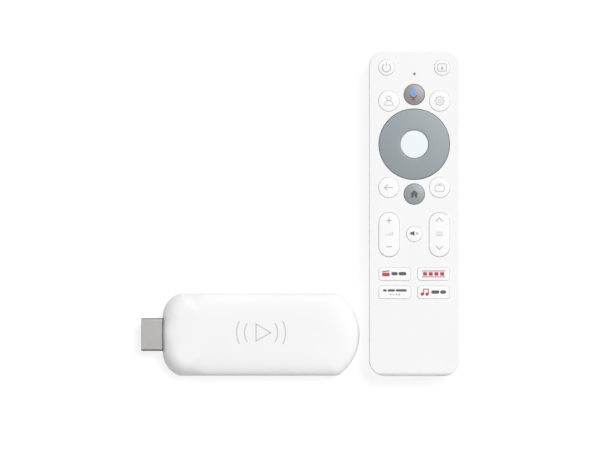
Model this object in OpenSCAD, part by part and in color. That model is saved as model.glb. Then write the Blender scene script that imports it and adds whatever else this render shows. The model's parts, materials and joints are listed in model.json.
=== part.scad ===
// Streaming media player: a plug-in player stick and its hand-held remote, lying side by
// side on their backs. X runs along the stick, Y along the remote, Z up out of both faces.
// The origin is the centre of the set on the surface that it lies on.

/* [Stick casing] */
// Length of the casing without its plug
stick_length = 83; // [82:0.5:86]
// Width of the casing
stick_width = 34.8; // [34:0.2:36]
// Overall thickness of the casing
stick_height = 14; // [13.6:0.1:15]
// Wall thickness of both casing halves
stick_wall = 1.4; // [1.2:0.1:1.6]
// Radius of the round tail end
tail_radius = 21.2; // [20:0.1:22]
// Radius of the two nose corners
nose_radius = 10.6; // [10.2:0.1:11]
// Edge rounding along the sides and the tail
side_edge = 3.4; // [3:0.1:3.8]
// Edge rounding at the nose
nose_edge = 6; // [4:0.1:6.2]

/* [Stick plug and ports] */
// Width of the plug's metal shell
plug_width = 13.9; // [13.8:0.05:14]
// Thickness of the plug's metal shell
plug_height = 4.45; // [4.4:0.05:4.55]
// Length of plug that stands out of the casing
plug_reach = 9; // [8.5:0.5:12]
// Width of the power socket
socket_width = 8.94; // [8.8:0.02:9]
// Thickness of the power socket
socket_height = 3.26; // [3.2:0.02:3.3]

/* [Remote casing] */
// Length of the remote
remote_length = 137; // [136:0.5:139]
// Width of the remote
remote_width = 38; // [37.6:0.2:39]
// Thickness of the remote's casing, keys left out
remote_height = 18; // [18:0.1:19]
// Wall thickness of the side walls
remote_wall = 1.5; // [1.3:0.1:1.6]
// Radius of the remote's corners seen from above
remote_corner = 6.6; // [6:0.2:7]
// Edge rounding of the face
face_edge = 0.8; // [0.7:0.1:1.4]
// Edge rounding of the back
back_edge = 5.5; // [4.5:0.5:5.5]
// Gap between the stick and the remote
set_gap = 4; // [3:0.5:12]

/* [Remote keys] */
// Distance of the round side keys from the middle line
side_key_x = 10.7; // [10.6:0.05:10.8]
// Radius of the round side keys
side_key_r = 4.4; // [4:0.05:4.5]
// Distance of the power and source keys from the middle line
corner_key_x = 11.7; // [11.4:0.05:11.8]
// Radius of the power, source and mute keys
small_key_r = 3.35; // [3:0.05:3.5]
// Radius of the voice and home keys
middle_key_r = 4.45; // [4.2:0.05:4.8]
// Outer radius of the direction ring
ring_r = 14.95; // [14.7:0.05:15.3]
// Radius of the select key inside the ring
select_key_r = 5.85; // [5.5:0.05:5.9]
// Width of the volume and channel rockers
rocker_width = 8.8; // [8:0.1:9]
// Length of the volume and channel rockers
rocker_length = 18.7; // [18:0.1:19]
// Width of a shortcut key
shortcut_width = 13.5; // [13:0.1:13.6]
// Height of a shortcut key
shortcut_height = 5.5; // [5:0.1:5.6]
// Height that the keys stand out of the face
key_proud = 0.5; // [0.4:0.1:0.6]
// Gap around a key
key_gap = 0.15; // [0.12:0.01:0.18]

/* [Hidden] */

// ---- places of the two units ----
set_width = plug_reach + stick_length + set_gap + remote_width;
nose_x = -set_width / 2 + plug_reach;
tail_x = nose_x + stick_length;
remote_x = set_width / 2 - remote_width / 2;
remote_top = remote_length / 2;
stick_y = -remote_length / 2 + stick_width / 2;

// ---- stick levels ----
half_w = stick_width / 2;
crown = 0.5;
crown_r = 5;
corner_blend = 4.5;
nose_overshoot = 0.6;
edge_thinning = 0.7;
parting = stick_height / 2;
board_t = 1;
board_z = parting - board_t / 2;
board_top = board_z + board_t;
processor_x = nose_x + 40;
spreader_z = board_top + 2.2;
button_x = nose_x + 57;
button_r = 1.5;
light_x = button_x + 6;
light_r = 0.8;
pin_rise = 1.15;
pin_r = 0.6;
snap_x = [20, 50];
snap_length = 6;
snap_t = 1.4;
snap_drop = 2;
peg_r = 1;
boss_r = 2;
pilot_r = 0.75;
processor_size = 14;
chip_t = 1.2;

// ---- plug and power socket ----
plug_length = plug_reach + 7;
plug_wall = 0.3;
plug_foot = 5.3;
plug_chamfer_z = -0.6;
plug_gap = 0.2;
contact_pitch = 1.1;
contact_width = 0.44;
contact_t = 0.148;
contact_reach = 7;
socket_reach = 7.5;
socket_wall = 0.3;
socket_gap = 0.15;
socket_mouth = tail_x - 0.15;

// ---- remote levels, from the back up ----
door_skin = 1.2;
cell_r = 5.25;
cell_length = 44.5;
cell_z = 1.45 + cell_r;
remote_parting = 12;
window_z = 13.2;
bay_roof = 0.7;
mat_board_z = remote_parting + bay_roof + 0.1;
mat_board_top = mat_board_z + 1;
mat_top = mat_board_top + 0.5;
collar_top = mat_top + 0.6;
face_t = 1.5;
face_under = remote_height - face_t;
ear_t = 0.7;
ear_z = face_under - 0.1 - ear_t;
key_top = remote_height + key_proud;
stem_z = mat_board_top + 0.86;
stem_r = 1.5;
ear_reach = 0.8;
ear_width = 3;
key_edge = 0.3;
pivot_r = 0.35;
mic_hole_r = 0.6;

// ---- places of the keys: drop is the distance down from the remote's top end ----
corner_drop = 7.1;
hole_drop = 9.8;
voice_drop = 18.5;
profile_drop = 21.2;
ring_drop = 39.4;
back_drop = 57.6;
home_drop = 60.4;
rocker_drop = 77.5;
mute_drop = 77.2;
rocker_x = 10.6;
shortcut_x = 8.15;
shortcut_drop = 94;
shortcut_pitch = 7.75;
rocker_stem = 6;
shortcut_stem = 4;

// ---- direction ring ----
ring_bore = select_key_r + key_gap;
ring_bottom = 16.3;
ring_top = remote_height + key_proud + 0.2;
ring_dish = 0.35;
ring_stem_at = 11;
ring_tab_z = 15.08;
ring_tab_t = 0.6;
ring_tab_width = 4;
tab_angles = [25, 155, 205, 335];
flange_z = 15.2;
flange_r = select_key_r + 0.5;
washer_z = 15.3;
washer_t = 0.6;
washer_r = 8.3;
washer_bore = flange_r + 0.35;

// ---- battery bay ----
remote_end = -remote_length / 2;
door_length = 62;
door_rise = 5;
door_gap = 0.15;
door_cap = 4.4;
rail_x = remote_width / 2 - 2.6;
rail_t = 0.8;
rail_start = 8;
rail_top = 7.2;
lip_z = 6.5;
lip_t = 0.6;
lip_reach = 1.35;
tongue_width = 4.4;
tongue_z = 1.65;
grip_count = 5;
grip_pitch = 1.8;
bay_start = remote_end + 4.6;
bay_length = cell_length + 6;
bay_x = 13;
bay_wall = 1.2;
bay_end_t = 0.9;
bay_end_z = 2.7;
cell_x = 5.9;
button_end_r = 1.9;
button_end_t = 1;
spring_turns = 4;
spring_wire = 0.25;
spring_length = 4;
spring_plate_r = 3.6;
plate_size = 7;
plate_t = 0.3;

// ---- screws that hold the remote's board: [from the middle, drop] ----
board_screws = [for (s = [-1, 1], d = [14.2, 89.6]) [s * 15, d]];

fine = $preview ? 24 : 48;
edge_facets = 40;

// ======== shared shapes ========

// Half of a slab's section: flat at z_flat, with its far edge rounded at z_round.
function half_section(r, z_flat, z_round, edge, steps = 7) =
    let (up = sign(z_round - z_flat))
    concat(
        [[0, z_flat], [r, z_flat]],
        [for (i = [0:steps]) let (a = 90 * i / steps)
            [r - edge + edge * cos(a), z_round - up * edge * (1 - sin(a))]],
        [[0, z_round]]);

module edge_disc(r, z_flat, z_round, edge) {
    rotate_extrude($fn = edge_facets) polygon(half_section(r, z_flat, z_round, edge));
}

// A wedge of an edge disc: the part that reaches `reach` along X and `spread` either way in Y.
module edge_arc(r, z_flat, z_round, edge, reach, spread) {
    intersection() {
        edge_disc(r, z_flat, z_round, edge);
        translate([min(reach, 0), -spread, -1]) cube([abs(reach), 2 * spread, stick_height + 2]);
    }
}

// One half of the stick's body, from the flat at z_flat to the rounded face at z_round.
// The nose corners and the tail are arcs that meet the straight sides in small blends.
module stick_half(inset, z_flat, z_round) {
    side = side_edge - inset * edge_thinning;
    nose = nose_edge - inset * edge_thinning;
    corner_y = half_w - corner_blend;
    nose_y = half_w - nose_radius + nose_overshoot;
    nose_step = nose_radius - corner_blend;
    tail_step = tail_radius - corner_blend;
    nose_dx = sqrt(pow(nose_step, 2) - pow(corner_y - nose_y, 2));
    tail_dx = sqrt(pow(tail_step, 2) - pow(corner_y, 2));
    nose_r = nose_radius - inset;
    tail_r = tail_radius - inset;
    hull() {
        for (s = [-1, 1]) {
            translate([nose_x + nose_radius - nose_dx, stick_y + s * corner_y, 0])
                edge_disc(corner_blend - inset, z_flat, z_round, side);
            translate([tail_x - tail_radius + tail_dx, stick_y + s * corner_y, 0])
                edge_disc(corner_blend - inset, z_flat, z_round, side);
            translate([nose_x + nose_radius, stick_y + s * nose_y, 0])
                edge_arc(nose_r, z_flat, z_round, nose, -nose_r, nose_r * (corner_y - nose_y) / nose_step);
        }
        translate([tail_x - tail_radius, stick_y, 0])
            edge_arc(tail_r, z_flat, z_round, side, tail_r, tail_r * corner_y / tail_step);
        if (z_round > z_flat && inset == 0)
            for (x = [nose_x + half_w, tail_x - tail_radius])
                translate([x, stick_y, z_flat])
                    cylinder(r = crown_r, h = z_round + crown - z_flat, $fn = 32);
    }
}

// One half of the remote's body.
module remote_half(inset, z_flat, z_round, edge) {
    x = remote_width / 2 - remote_corner;
    y = remote_length / 2 - remote_corner;
    hull() for (sx = [-1, 1], sy = [-1, 1])
        translate([remote_x + sx * x, sy * y, 0])
            edge_disc(remote_corner - inset, z_flat, z_round, edge);
}

// A place on the remote: x from its middle line, and drop down from its top end.
module on_remote(x, drop) {
    translate([remote_x + x, remote_top - drop, 0]) children();
}

// A plate with round corners, its middle at the origin.
module round_plate(w, l, r) {
    union() {
        square([w - 2 * r, l], center = true);
        square([w, l - 2 * r], center = true);
        for (sx = [-1, 1], sy = [-1, 1])
            translate([sx * (w / 2 - r), sy * (l / 2 - r)]) circle(r = r, $fn = fine);
    }
}

module stick_at(x, y) {
    translate([nose_x + x, stick_y + y, 0]) children();
}

// Carries a flat shape drawn in Y and Z along +X.
module along_x(length) {
    rotate([90, 0, 90]) linear_extrude(length) children();
}

// The plug's outline: square above, with its lower corners cut off.
module plug_outline(inset) {
    w = plug_width / 2 - inset;
    h = plug_height / 2 - inset;
    foot = plug_foot - inset * 0.6;
    low = plug_chamfer_z;
    offset(r = 0.4) offset(delta = -0.4)
        polygon([[-w, h], [w, h], [w, low], [foot, -h], [-foot, -h], [-w, low]]);
}

module socket_outline(inset) {
    r = socket_height / 2 - inset;
    run = socket_width / 2 - socket_height / 2;
    square([2 * run, 2 * r], center = true);
    for (s = [-1, 1]) translate([s * run, 0]) circle(r = r, $fn = fine);
}

// ======== the stick ========

module stick_top_shell() {
    color("white") difference() {
        union() {
            difference() {
                stick_half(0, parting, stick_height - crown);
                stick_half(stick_wall, parting - 1, stick_height - crown - stick_wall);
            }
            // snap ribs, half of each below the parting line
            for (x = snap_x, s = [-1, 1]) stick_at(x, s * (half_w - stick_wall - 0.5))
                translate([-snap_length / 2, -snap_t / 2, parting - snap_drop])
                    cube([snap_length, snap_t, 4.6]);
            // pegs that hold the heat spreader
            for (p = peg_places()) translate([p[0], p[1], spreader_z + 0.1])
                cylinder(r = peg_r, h = stick_height - stick_wall - spreader_z, $fn = fine);
        }
        stick_openings();
    }
}

module stick_bottom_shell() {
    color("white") difference() {
        union() {
            difference() {
                stick_half(0, parting, 0);
                stick_half(stick_wall, parting + 1, stick_wall);
            }
            for (p = screw_places()) translate([p[0], p[1], 1])
                cylinder(r = boss_r, h = board_z - 1, $fn = fine);
        }
        stick_openings();
        for (p = screw_places()) translate([p[0], p[1], 2]) cylinder(r = pilot_r, h = board_z, $fn = fine);
        // pockets for the top shell's snap ribs
        for (x = snap_x, s = [-1, 1]) stick_at(x, s * (half_w - stick_wall - 0.45))
            translate([-snap_length / 2 - 0.2, -snap_t / 2 - 0.15, parting - snap_drop - 0.3])
                cube([snap_length + 0.4, snap_t + 0.3, 4]);
    }
}

function screw_places() = [[nose_x + 17, stick_y - 11.2], [nose_x + 64, stick_y + 11]];
function peg_places() = [for (x = [-17, 17], y = [-7.5, 7.5]) [processor_x + x, stick_y + y]];

// What passes through the casing's wall: plug, power socket, reset button and light pipe.
module stick_openings() {
    translate([nose_x - 1, stick_y, parting]) along_x(4) offset(delta = plug_gap) plug_outline(0);
    translate([tail_x - 3.5, stick_y, parting]) along_x(6) offset(delta = socket_gap) socket_outline(0);
    translate([button_x, stick_y + half_w - 3, parting]) rotate([-90, 0, 0])
        cylinder(r = button_r + 0.15, h = 5, $fn = fine);
    translate([light_x, stick_y + half_w - 3, parting]) rotate([-90, 0, 0])
        cylinder(r = light_r + 0.05, h = 5, $fn = fine);
}

// The shell's two legs go down through slots in the board.
module video_plug_shell() {
    color("silver") translate([nose_x - plug_reach, stick_y, parting]) {
        difference() {
            along_x(plug_length) plug_outline(0);
            translate([-1, 0, 0]) along_x(plug_length + 2) plug_outline(plug_wall);
            for (s = [-1, 1]) translate([4, s * 3.4, -plug_height / 2]) cube([2.2, 1.5, 1], center = true);
        }
        for (y = [-plug_width / 2, plug_width / 2 - plug_wall]) translate([plug_length - 1, y, -1.4])
            cube([4, plug_wall, 2.4]);
    }
}

module video_plug_insert() {
    color("dimgray") translate([nose_x - plug_reach + 0.6, stick_y, parting]) difference() {
        along_x(plug_length - 1.6) plug_outline(0.32);
        translate([-1, -5.9, -0.95]) cube([8.6, 11.8, 2.1]);
    }
}

// Nineteen gilt strips on the two sides of the insert's slot, and their ends on the board.
module video_plug_contacts() {
    tail = plug_length - 1.9;
    color("gold") translate([nose_x - plug_reach + 1, stick_y, parting]) {
        for (i = [0:9]) translate([0, (i - 4.5) * contact_pitch - contact_width / 2, 0]) {
            translate([0, 0, 1]) cube([contact_reach, contact_width, contact_t]);
            translate([tail, 0, board_t / 2 + 0.01]) cube([3, contact_width, 0.15]);
        }
        for (i = [0:8]) translate([0, (i - 4) * contact_pitch - contact_width / 2, 0]) {
            translate([0, 0, -0.8 - contact_t]) cube([contact_reach, contact_width, contact_t]);
            translate([tail, 0, -board_t / 2 - 0.16]) cube([3, contact_width, 0.15]);
        }
    }
}

module stick_circuit_board() {
    color("darkgreen") translate([0, 0, board_z]) difference() {
        union() {
            stick_at(7.4, -13.5) cube([64.6, 27, board_t]);
            stick_at(71.9, -6.5) cube([8, 13, board_t]);
        }
        for (s = [-1, 1]) stick_at(plug_length - plug_reach - 1.3, s * (plug_width / 2 - 0.15) - 0.35)
            translate([0, 0, -1]) cube([4.6, 0.7, 3]);
        translate([socket_mouth - socket_reach - 0.1, stick_y - 4.7, -1]) cube([9, 9.4, 3]);
        for (p = screw_places()) translate([p[0], p[1], -1]) cylinder(r = 0.9, h = 3, $fn = fine);
    }
}

module main_processor() {
    color([0.12, 0.12, 0.13])
        translate([processor_x - processor_size / 2, stick_y - processor_size / 2, board_top])
            cube([processor_size, processor_size, chip_t]);
}

module memory_chips() {
    color([0.12, 0.12, 0.13]) {
        for (s = [-1, 1]) translate([processor_x - 20, stick_y + s * 5.2 - 4, board_top]) cube([11, 8, 1]);
        translate([processor_x + 9, stick_y - 11, board_top]) cube([10, 13, 1]);
    }
}

module thermal_pad() {
    side = processor_size - 1;
    color([0.55, 0.68, 0.78])
        translate([processor_x - side / 2, stick_y - side / 2, board_top + chip_t])
            cube([side, side, spreader_z - board_top - chip_t]);
}

module heat_spreader() {
    color("lightgray") difference() {
        translate([processor_x - 20, stick_y - 10.5, spreader_z]) cube([40, 21, 0.8]);
        for (p = peg_places()) translate([p[0], p[1], spreader_z - 1])
            cylinder(r = peg_r + 0.2, h = 3, $fn = fine);
    }
}

module radio_shield() {
    color("silver") translate([processor_x + 3, stick_y - 8, board_z - 2.2]) difference() {
        cube([16, 16, 2.2]);
        translate([0.25, 0.25, 0.25]) cube([15.5, 15.5, 3]);
    }
}

// Two folded strip antennas at the tail end, one on each side of the power socket.
module stick_antennas() {
    color("gold") for (s = [-1, 1]) translate([tail_x - 17, stick_y + s * 12.6, board_top]) {
        translate([0, -0.4, 0]) cube([0.3, 0.8, 2.6]);
        translate([0, -0.4, 2.3]) cube([6.5, 0.8, 0.3]);
        translate([6.2, s > 0 ? -2.4 : -0.4, 2.3]) cube([0.3, 2.8, 0.3]);
    }
}

module power_components() {
    color([0.2, 0.2, 0.22]) {
        for (i = [0:2]) stick_at(60.6 + 3.6 * i, -10.8) translate([0, 0, board_top]) cube([2.8, 2.8, 1.4]);
        for (i = [0:5]) stick_at(15 + 2.2 * i, 9.6) translate([0, 0, board_top]) cube([1.4, 0.8, 0.8]);
        for (i = [0:5]) stick_at(24 + 2.2 * i, -6) translate([0, 0, board_z - 0.8]) cube([1.4, 0.8, 0.8]);
    }
}

module power_socket_shell() {
    color("silver") translate([socket_mouth - socket_reach, stick_y, parting]) difference() {
        along_x(socket_reach - 0.35) socket_outline(0);
        translate([1, 0, 0]) along_x(socket_reach) socket_outline(socket_wall);
    }
}

module power_socket_tongue() {
    color("black") translate([socket_mouth - socket_reach + 1, stick_y - 3.2, parting - 0.35])
        cube([socket_reach - 2.2, 6.4, 0.7]);
}

// The slot in its front takes the button's pin.
module reset_switch() {
    color([0.25, 0.25, 0.27]) translate([button_x - 2.2, stick_y + 9.9, board_top]) difference() {
        cube([4.4, 2.8, 1.5]);
        translate([1, 1.9, -1]) cube([2.4, 2, 4]);
    }
}

module status_light_pipe() {
    length = 3.65;
    color([0.9, 0.95, 1]) translate([light_x, stick_y + half_w - 0.05 - length, parting])
        rotate([-90, 0, 0]) {
            cylinder(r = light_r, h = length, $fn = fine);
            cylinder(r = light_r + 0.5, h = 1.2, $fn = fine);
        }
}

module status_light() {
    color([1, 0.95, 0.8]) translate([light_x - 0.8, stick_y + 12.6, board_top]) cube([1.6, 0.8, 0.5]);
}

module stick_board_screws() {
    color("silver") for (p = screw_places()) translate([p[0], p[1], board_top]) difference() {
        union() {
            translate([0, 0, -3.6]) cylinder(r = 0.7, h = 3.7, $fn = fine);
            cylinder(r = 1.4, h = 0.9, $fn = fine);
        }
        translate([0, 0, 0.5]) cross_slot(1.6, 0.35, 1);
    }
}

module cross_slot(span, width, depth) {
    translate([0, 0, depth / 2]) {
        cube([span, width, depth], center = true);
        cube([width, span, depth], center = true);
    }
}

// The button with its inner flange, and the pin that works the switch behind it.
module reset_button() {
    color("white") translate([button_x, stick_y + half_w - 0.1, parting]) rotate([90, 0, 0]) {
        cylinder(r = button_r, h = 1.9, $fn = fine);
        translate([0, 0, 1.5]) cylinder(r = button_r + 0.7, h = 0.5, $fn = fine);
        translate([0, pin_rise, 1.9]) cylinder(r = pin_r, h = 3.25, $fn = fine);
    }
}

// ======== the remote's casing ========

module round_hole(x, drop, r) {
    on_remote(x, drop) translate([0, 0, face_under - 1]) cylinder(r = r + key_gap, h = 4, $fn = fine);
}

module rocker_outline(grow) {
    r = rocker_width / 2 + grow;
    run = rocker_length / 2 - rocker_width / 2;
    square([2 * r, 2 * run], center = true);
    for (s = [-1, 1]) translate([0, s * run]) circle(r = r, $fn = fine);
}

function shortcut_places() =
    [for (row = [0, 1], s = [-1, 1]) [s * shortcut_x, shortcut_drop + row * shortcut_pitch]];

module key_openings() {
    for (s = [-1, 1]) {
        round_hole(s * corner_key_x, corner_drop, small_key_r);
        round_hole(s * side_key_x, profile_drop, side_key_r);
        round_hole(s * side_key_x, back_drop, side_key_r);
        on_remote(s * rocker_x, rocker_drop) translate([0, 0, face_under - 1]) linear_extrude(4)
            rocker_outline(0.2);
    }
    round_hole(0, voice_drop, middle_key_r);
    round_hole(0, ring_drop, ring_r);
    round_hole(0, home_drop, middle_key_r);
    round_hole(0, mute_drop, small_key_r);
    for (p = shortcut_places()) on_remote(p[0], p[1]) translate([0, 0, face_under - 1])
        linear_extrude(4) round_plate(shortcut_width + 0.3, shortcut_height + 0.3, 1.4);
    on_remote(0, hole_drop) translate([0, 0, face_under - 1]) cylinder(r = mic_hole_r, h = 4, $fn = fine);
}

module remote_front_shell() {
    color("white") difference() {
        union() {
            difference() {
                remote_half(0, remote_parting, remote_height, face_edge);
                remote_half(remote_wall, remote_parting - 1, face_under, 0.3);
            }
            for (p = board_screws) on_remote(p[0], p[1]) translate([0, 0, mat_board_top])
                cylinder(r = 1.7, h = face_under - mat_board_top + 0.5, $fn = fine);
        }
        key_openings();
        for (p = board_screws) on_remote(p[0], p[1]) translate([0, 0, mat_board_top - 1])
            cylinder(r = pilot_r, h = 3.4, $fn = fine);
        on_remote(0, -1) translate([-5.5, -5, window_z - 0.1]) cube([11, 6, 3]);
    }
}

// What the door leaves of the back: nothing at the bottom end, and nothing low down beside it.
module door_zone() {
    translate([remote_x - remote_width, remote_end - 1, -1]) {
        cube([2 * remote_width, door_length + 1 + door_gap, door_rise + door_gap + 1]);
        cube([2 * remote_width, door_cap + 1 + door_gap, remote_parting + 2]);
    }
}

module remote_rear_shell() {
    half = remote_width / 2;
    color("white") difference() {
        union() {
            difference() {
                remote_half(0, remote_parting, 0, back_edge);
                remote_half(remote_wall, remote_parting + 1, remote_wall, back_edge - 1);
                door_zone();
            }
            // roof, side walls and ends of the battery bay
            translate([remote_x - bay_x, bay_start - bay_end_t, remote_parting])
                cube([2 * bay_x, bay_length + 2 * bay_end_t, bay_roof]);
            for (x = [-bay_x, bay_x - bay_wall]) translate([remote_x + x, bay_start - bay_end_t, 5.6])
                cube([bay_wall, bay_length + 2 * bay_end_t, remote_parting - 5.2]);
            for (y = [-bay_end_t, bay_length]) translate([remote_x - bay_x, bay_start + y, bay_end_z])
                cube([2 * bay_x, bay_end_t, remote_parting - bay_end_z + 0.4]);
            // rims that tie the bay to the side walls
            for (s = [-1, 1]) translate([remote_x + s * 15.2 - 2.6, bay_start, 8.6])
                cube([5.2, bay_length + bay_end_t, 1]);
        }
        // grooves that the door's lips run in
        for (s = [-1, 1]) translate([remote_x + s * (half - 1.4) - 0.6, remote_end - 1, lip_z - 0.3])
            cube([1.2, door_length + 1.4, 2 * lip_t]);
    }
}

// Slides off the bottom end. It wraps the lower half of the back and closes the end.
module battery_door() {
    rail_length = door_length - rail_start - 4;
    color("white") {
        difference() {
            remote_half(0, remote_parting - 0.1, 0, back_edge);
            remote_half(door_skin, remote_parting + 1, door_skin, back_edge - 1);
            translate([remote_x - 30, remote_end + door_length, -1]) cube([60, 200, 20]);
            translate([remote_x - 30, remote_end + door_cap, door_rise]) cube([60, 200, 20]);
            // finger grips
            for (i = [0:grip_count - 1])
                translate([remote_x - 7, remote_end + door_length - 10 - grip_pitch * i, -0.6])
                    cube([14, 0.8, 1]);
        }
        // rails with a lip that holds the door up in the shell's grooves
        for (s = [-1, 1]) translate([remote_x + s * rail_x, remote_end + rail_start, 0]) {
            translate([-rail_t / 2, 0, 1.6]) cube([rail_t, rail_length, rail_top - 1.6]);
            translate([min(0, s * lip_reach), 0, lip_z]) cube([lip_reach, rail_length, lip_t]);
        }
        // tongue that goes over the edge of the rear shell, between the two cells
        translate([remote_x - tongue_width / 2, remote_end + door_length, 0]) {
            translate([0, -2, door_skin - 0.2]) cube([tongue_width, 2, 1.3]);
            translate([0, -0.2, tongue_z]) cube([tongue_width, 2.2, 0.65]);
        }
    }
}

// ======== inside the remote ========

module remote_circuit_board() {
    color("darkgreen") difference() {
        translate([remote_x - 16.4, remote_top - 109, mat_board_z]) linear_extrude(1)
            translate([16.4, 53]) round_plate(32.8, 106, 3);
        on_remote(0, 4.6) translate([-2.4, -1.6, mat_board_z - 1]) cube([4.8, 6, 3]);
        for (p = board_screws) on_remote(p[0], p[1]) translate([0, 0, mat_board_z - 1])
            cylinder(r = 0.95, h = 3, $fn = fine);
    }
}

// Every place where a stem comes down: [from the middle, drop].
function stem_places() = concat(
    [for (s = [-1, 1], p = [[corner_key_x, corner_drop], [side_key_x, profile_drop],
        [side_key_x, back_drop], [rocker_x, rocker_drop - rocker_stem],
        [rocker_x, rocker_drop + rocker_stem]]) [s * p[0], p[1]]],
    [for (d = [voice_drop, ring_drop, home_drop, mute_drop]) [0, d]],
    [for (a = [0:90:270]) [ring_stem_at * cos(a), ring_drop + ring_stem_at * sin(a)]],
    [for (p = shortcut_places(), s = [-1, 1]) [p[0] + s * shortcut_stem, p[1]]]);

module key_contacts() {
    color([0.1, 0.1, 0.1]) for (p = stem_places()) on_remote(p[0], p[1])
        translate([0, 0, mat_board_top]) cylinder(r = 1.6, h = 0.06, $fn = fine);
}

// One soft sheet with a sleeve around each stem but the select key's.
module key_mat() {
    color([0.8, 0.82, 0.84]) difference() {
        union() {
            on_remote(0, 55.5) translate([0, 0, mat_board_top]) linear_extrude(mat_top - mat_board_top)
                round_plate(31, 103, 3);
            for (p = stem_places()) if (p != [0, ring_drop]) on_remote(p[0], p[1])
                translate([0, 0, mat_board_top])
                    cylinder(r = stem_r + 1, h = collar_top - mat_board_top, $fn = fine);
        }
        for (p = stem_places()) on_remote(p[0], p[1]) translate([0, 0, mat_board_top - 1])
            cylinder(r = stem_r + 0.45, h = 4, $fn = fine);
        for (p = board_screws) on_remote(p[0], p[1]) translate([0, 0, mat_board_top - 1])
            cylinder(r = 2.1, h = 4, $fn = fine);
        on_remote(0, hole_drop) translate([0, 0, mat_board_top - 1]) cylinder(r = 2.6, h = 4, $fn = fine);
        on_remote(0, 3) translate([-2.6, -5.4, mat_board_top - 1]) cube([5.2, 8, 4]);
    }
}

module remote_board_screws() {
    color("silver") for (p = board_screws) on_remote(p[0], p[1]) difference() {
        union() {
            translate([0, 0, mat_board_z - 0.9]) cylinder(r = 1.5, h = 0.9, $fn = fine);
            translate([0, 0, mat_board_z - 0.1]) cylinder(r = 0.7, h = 3.2, $fn = fine);
        }
        translate([0, 0, mat_board_z - 1.4]) cross_slot(1.7, 0.35, 1);
    }
}

module infrared_window() {
    color([0.15, 0.1, 0.12]) on_remote(0, 0.15) {
        translate([-5.4, -1.45, window_z]) cube([10.8, 1.45, 2.8]);
        translate([-6.2, -1.95, window_z - 0.4]) cube([12.4, 0.55, 3.4]);
    }
}

module infrared_led() {
    color([0.75, 0.8, 0.9]) on_remote(0, 6) translate([0, 0, mat_board_top + 0.4]) {
        rotate([-90, 0, 0]) cylinder(r = 1.5, h = 2.2, $fn = fine);
        translate([0, 2.2, 0]) sphere(r = 1.5, $fn = fine);
        rotate([-90, 0, 0]) cylinder(r = 1.8, h = 0.6, $fn = fine);
        for (s = [-1, 1]) translate([s * 0.9 - 0.2, -2, -0.38]) cube([0.4, 2.2, 0.4]);
    }
}

module microphone() {
    color("silver") on_remote(0, hole_drop) translate([0, 0, mat_board_top]) difference() {
        cylinder(r = 2, h = 1.3, $fn = fine);
        translate([0, 0, 1]) cylinder(r = mic_hole_r, h = 1, $fn = fine);
    }
}

module remote_radio_chip() {
    color([0.12, 0.12, 0.13]) on_remote(0, 30) translate([-2.5, -2.5, mat_board_z - 0.9]) cube([5, 5, 0.9]);
}

module remote_components() {
    color([0.45, 0.36, 0.24]) {
        for (i = [0:5]) on_remote(-7 + 2.6 * i, 38) translate([0, 0, mat_board_z - 0.7])
            cube([1.6, 0.9, 0.7]);
        on_remote(6, 27) translate([0, 0, mat_board_z - 1]) cube([3.2, 2.5, 1]);
        for (s = [-1, 1]) on_remote(s * 8, 50) translate([0, 0, mat_board_z - 1.5])
            cylinder(r = 1.6, h = 1.5, $fn = fine);
    }
}

module battery_cells() {
    color([0.25, 0.4, 0.35]) for (s = [-1, 1])
        translate([remote_x + s * cell_x, bay_start + bay_length / 2 - s * 2, cell_z])
            rotate([s * 90, 0, 0]) {
                cylinder(r = cell_r, h = cell_length - button_end_t, center = true, $fn = fine);
                translate([0, 0, (cell_length - button_end_t) / 2])
                    cylinder(r = button_end_r, h = button_end_t, $fn = fine);
            }
}

// Four-turn coils that press on the flat end of each cell.
module battery_springs() {
    color("silver") for (s = [-1, 1]) translate([
        remote_x + s * cell_x, s > 0 ? bay_start + bay_length - 0.5 : bay_start + 0.5, cell_z])
        rotate([s * 90, 0, 0]) {
            coil(spring_length);
            translate([0, 0, -0.4]) cylinder(r = spring_plate_r, h = plate_t, $fn = fine);
        }
}

// A tapering helix of round wire, its first turn sunk into the plate under it.
module coil(length) {
    sides = 6;
    per_turn = 14;
    count = spring_turns * per_turn;
    rings = [for (i = [0:count]) let (t = i / count, a = 360 * spring_turns * t, r = 3 - t)
        [for (j = [0:sides - 1]) let (b = 360 * j / sides)
            [(r + spring_wire * cos(b)) * cos(a), (r + spring_wire * cos(b)) * sin(a),
             spring_wire * sin(b) + length * t]]];
    polyhedron(
        [for (ring = rings) each ring],
        concat(
            [[for (j = [sides - 1:-1:0]) j]],
            [for (i = [0:count - 1], j = [0:sides - 1]) let (k = (j + 1) % sides)
                [i * sides + k, (i + 1) * sides + k, (i + 1) * sides + j, i * sides + j]],
            [[for (j = [0:sides - 1]) count * sides + j]]));
}

// Plates that the button ends of the cells press on.
module battery_plates() {
    half = plate_size / 2;
    color("silver") for (s = [-1, 1]) {
        y = s > 0 ? 0.1 : bay_length - 0.1 - plate_t;
        translate([remote_x + s * cell_x - half, bay_start + y, cell_z - half])
            cube([plate_size, plate_t, plate_size]);
    }
}

// ======== keys ========

// A key with its cap, ears under the face, and stem; ear_angle turns the ears about Z.
module round_key(x, drop, r, ear_angle) {
    on_remote(x, drop) {
        rotate_extrude($fn = fine) polygon(concat(
            [[0, ear_z], [r, ear_z]],
            [for (i = [0:4]) let (a = 22.5 * i)
                [r - key_edge + key_edge * cos(a), key_top - key_edge + key_edge * sin(a)]],
            [[0, key_top]]));
        rotate([0, 0, ear_angle]) translate([-r - ear_reach, -ear_width / 2, ear_z])
            cube([2 * r + 2 * ear_reach, ear_width, ear_t]);
        stem();
    }
}

module stem() {
    translate([0, 0, stem_z]) cylinder(r = stem_r, h = ear_z - stem_z + 0.2, $fn = fine);
}

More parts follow.
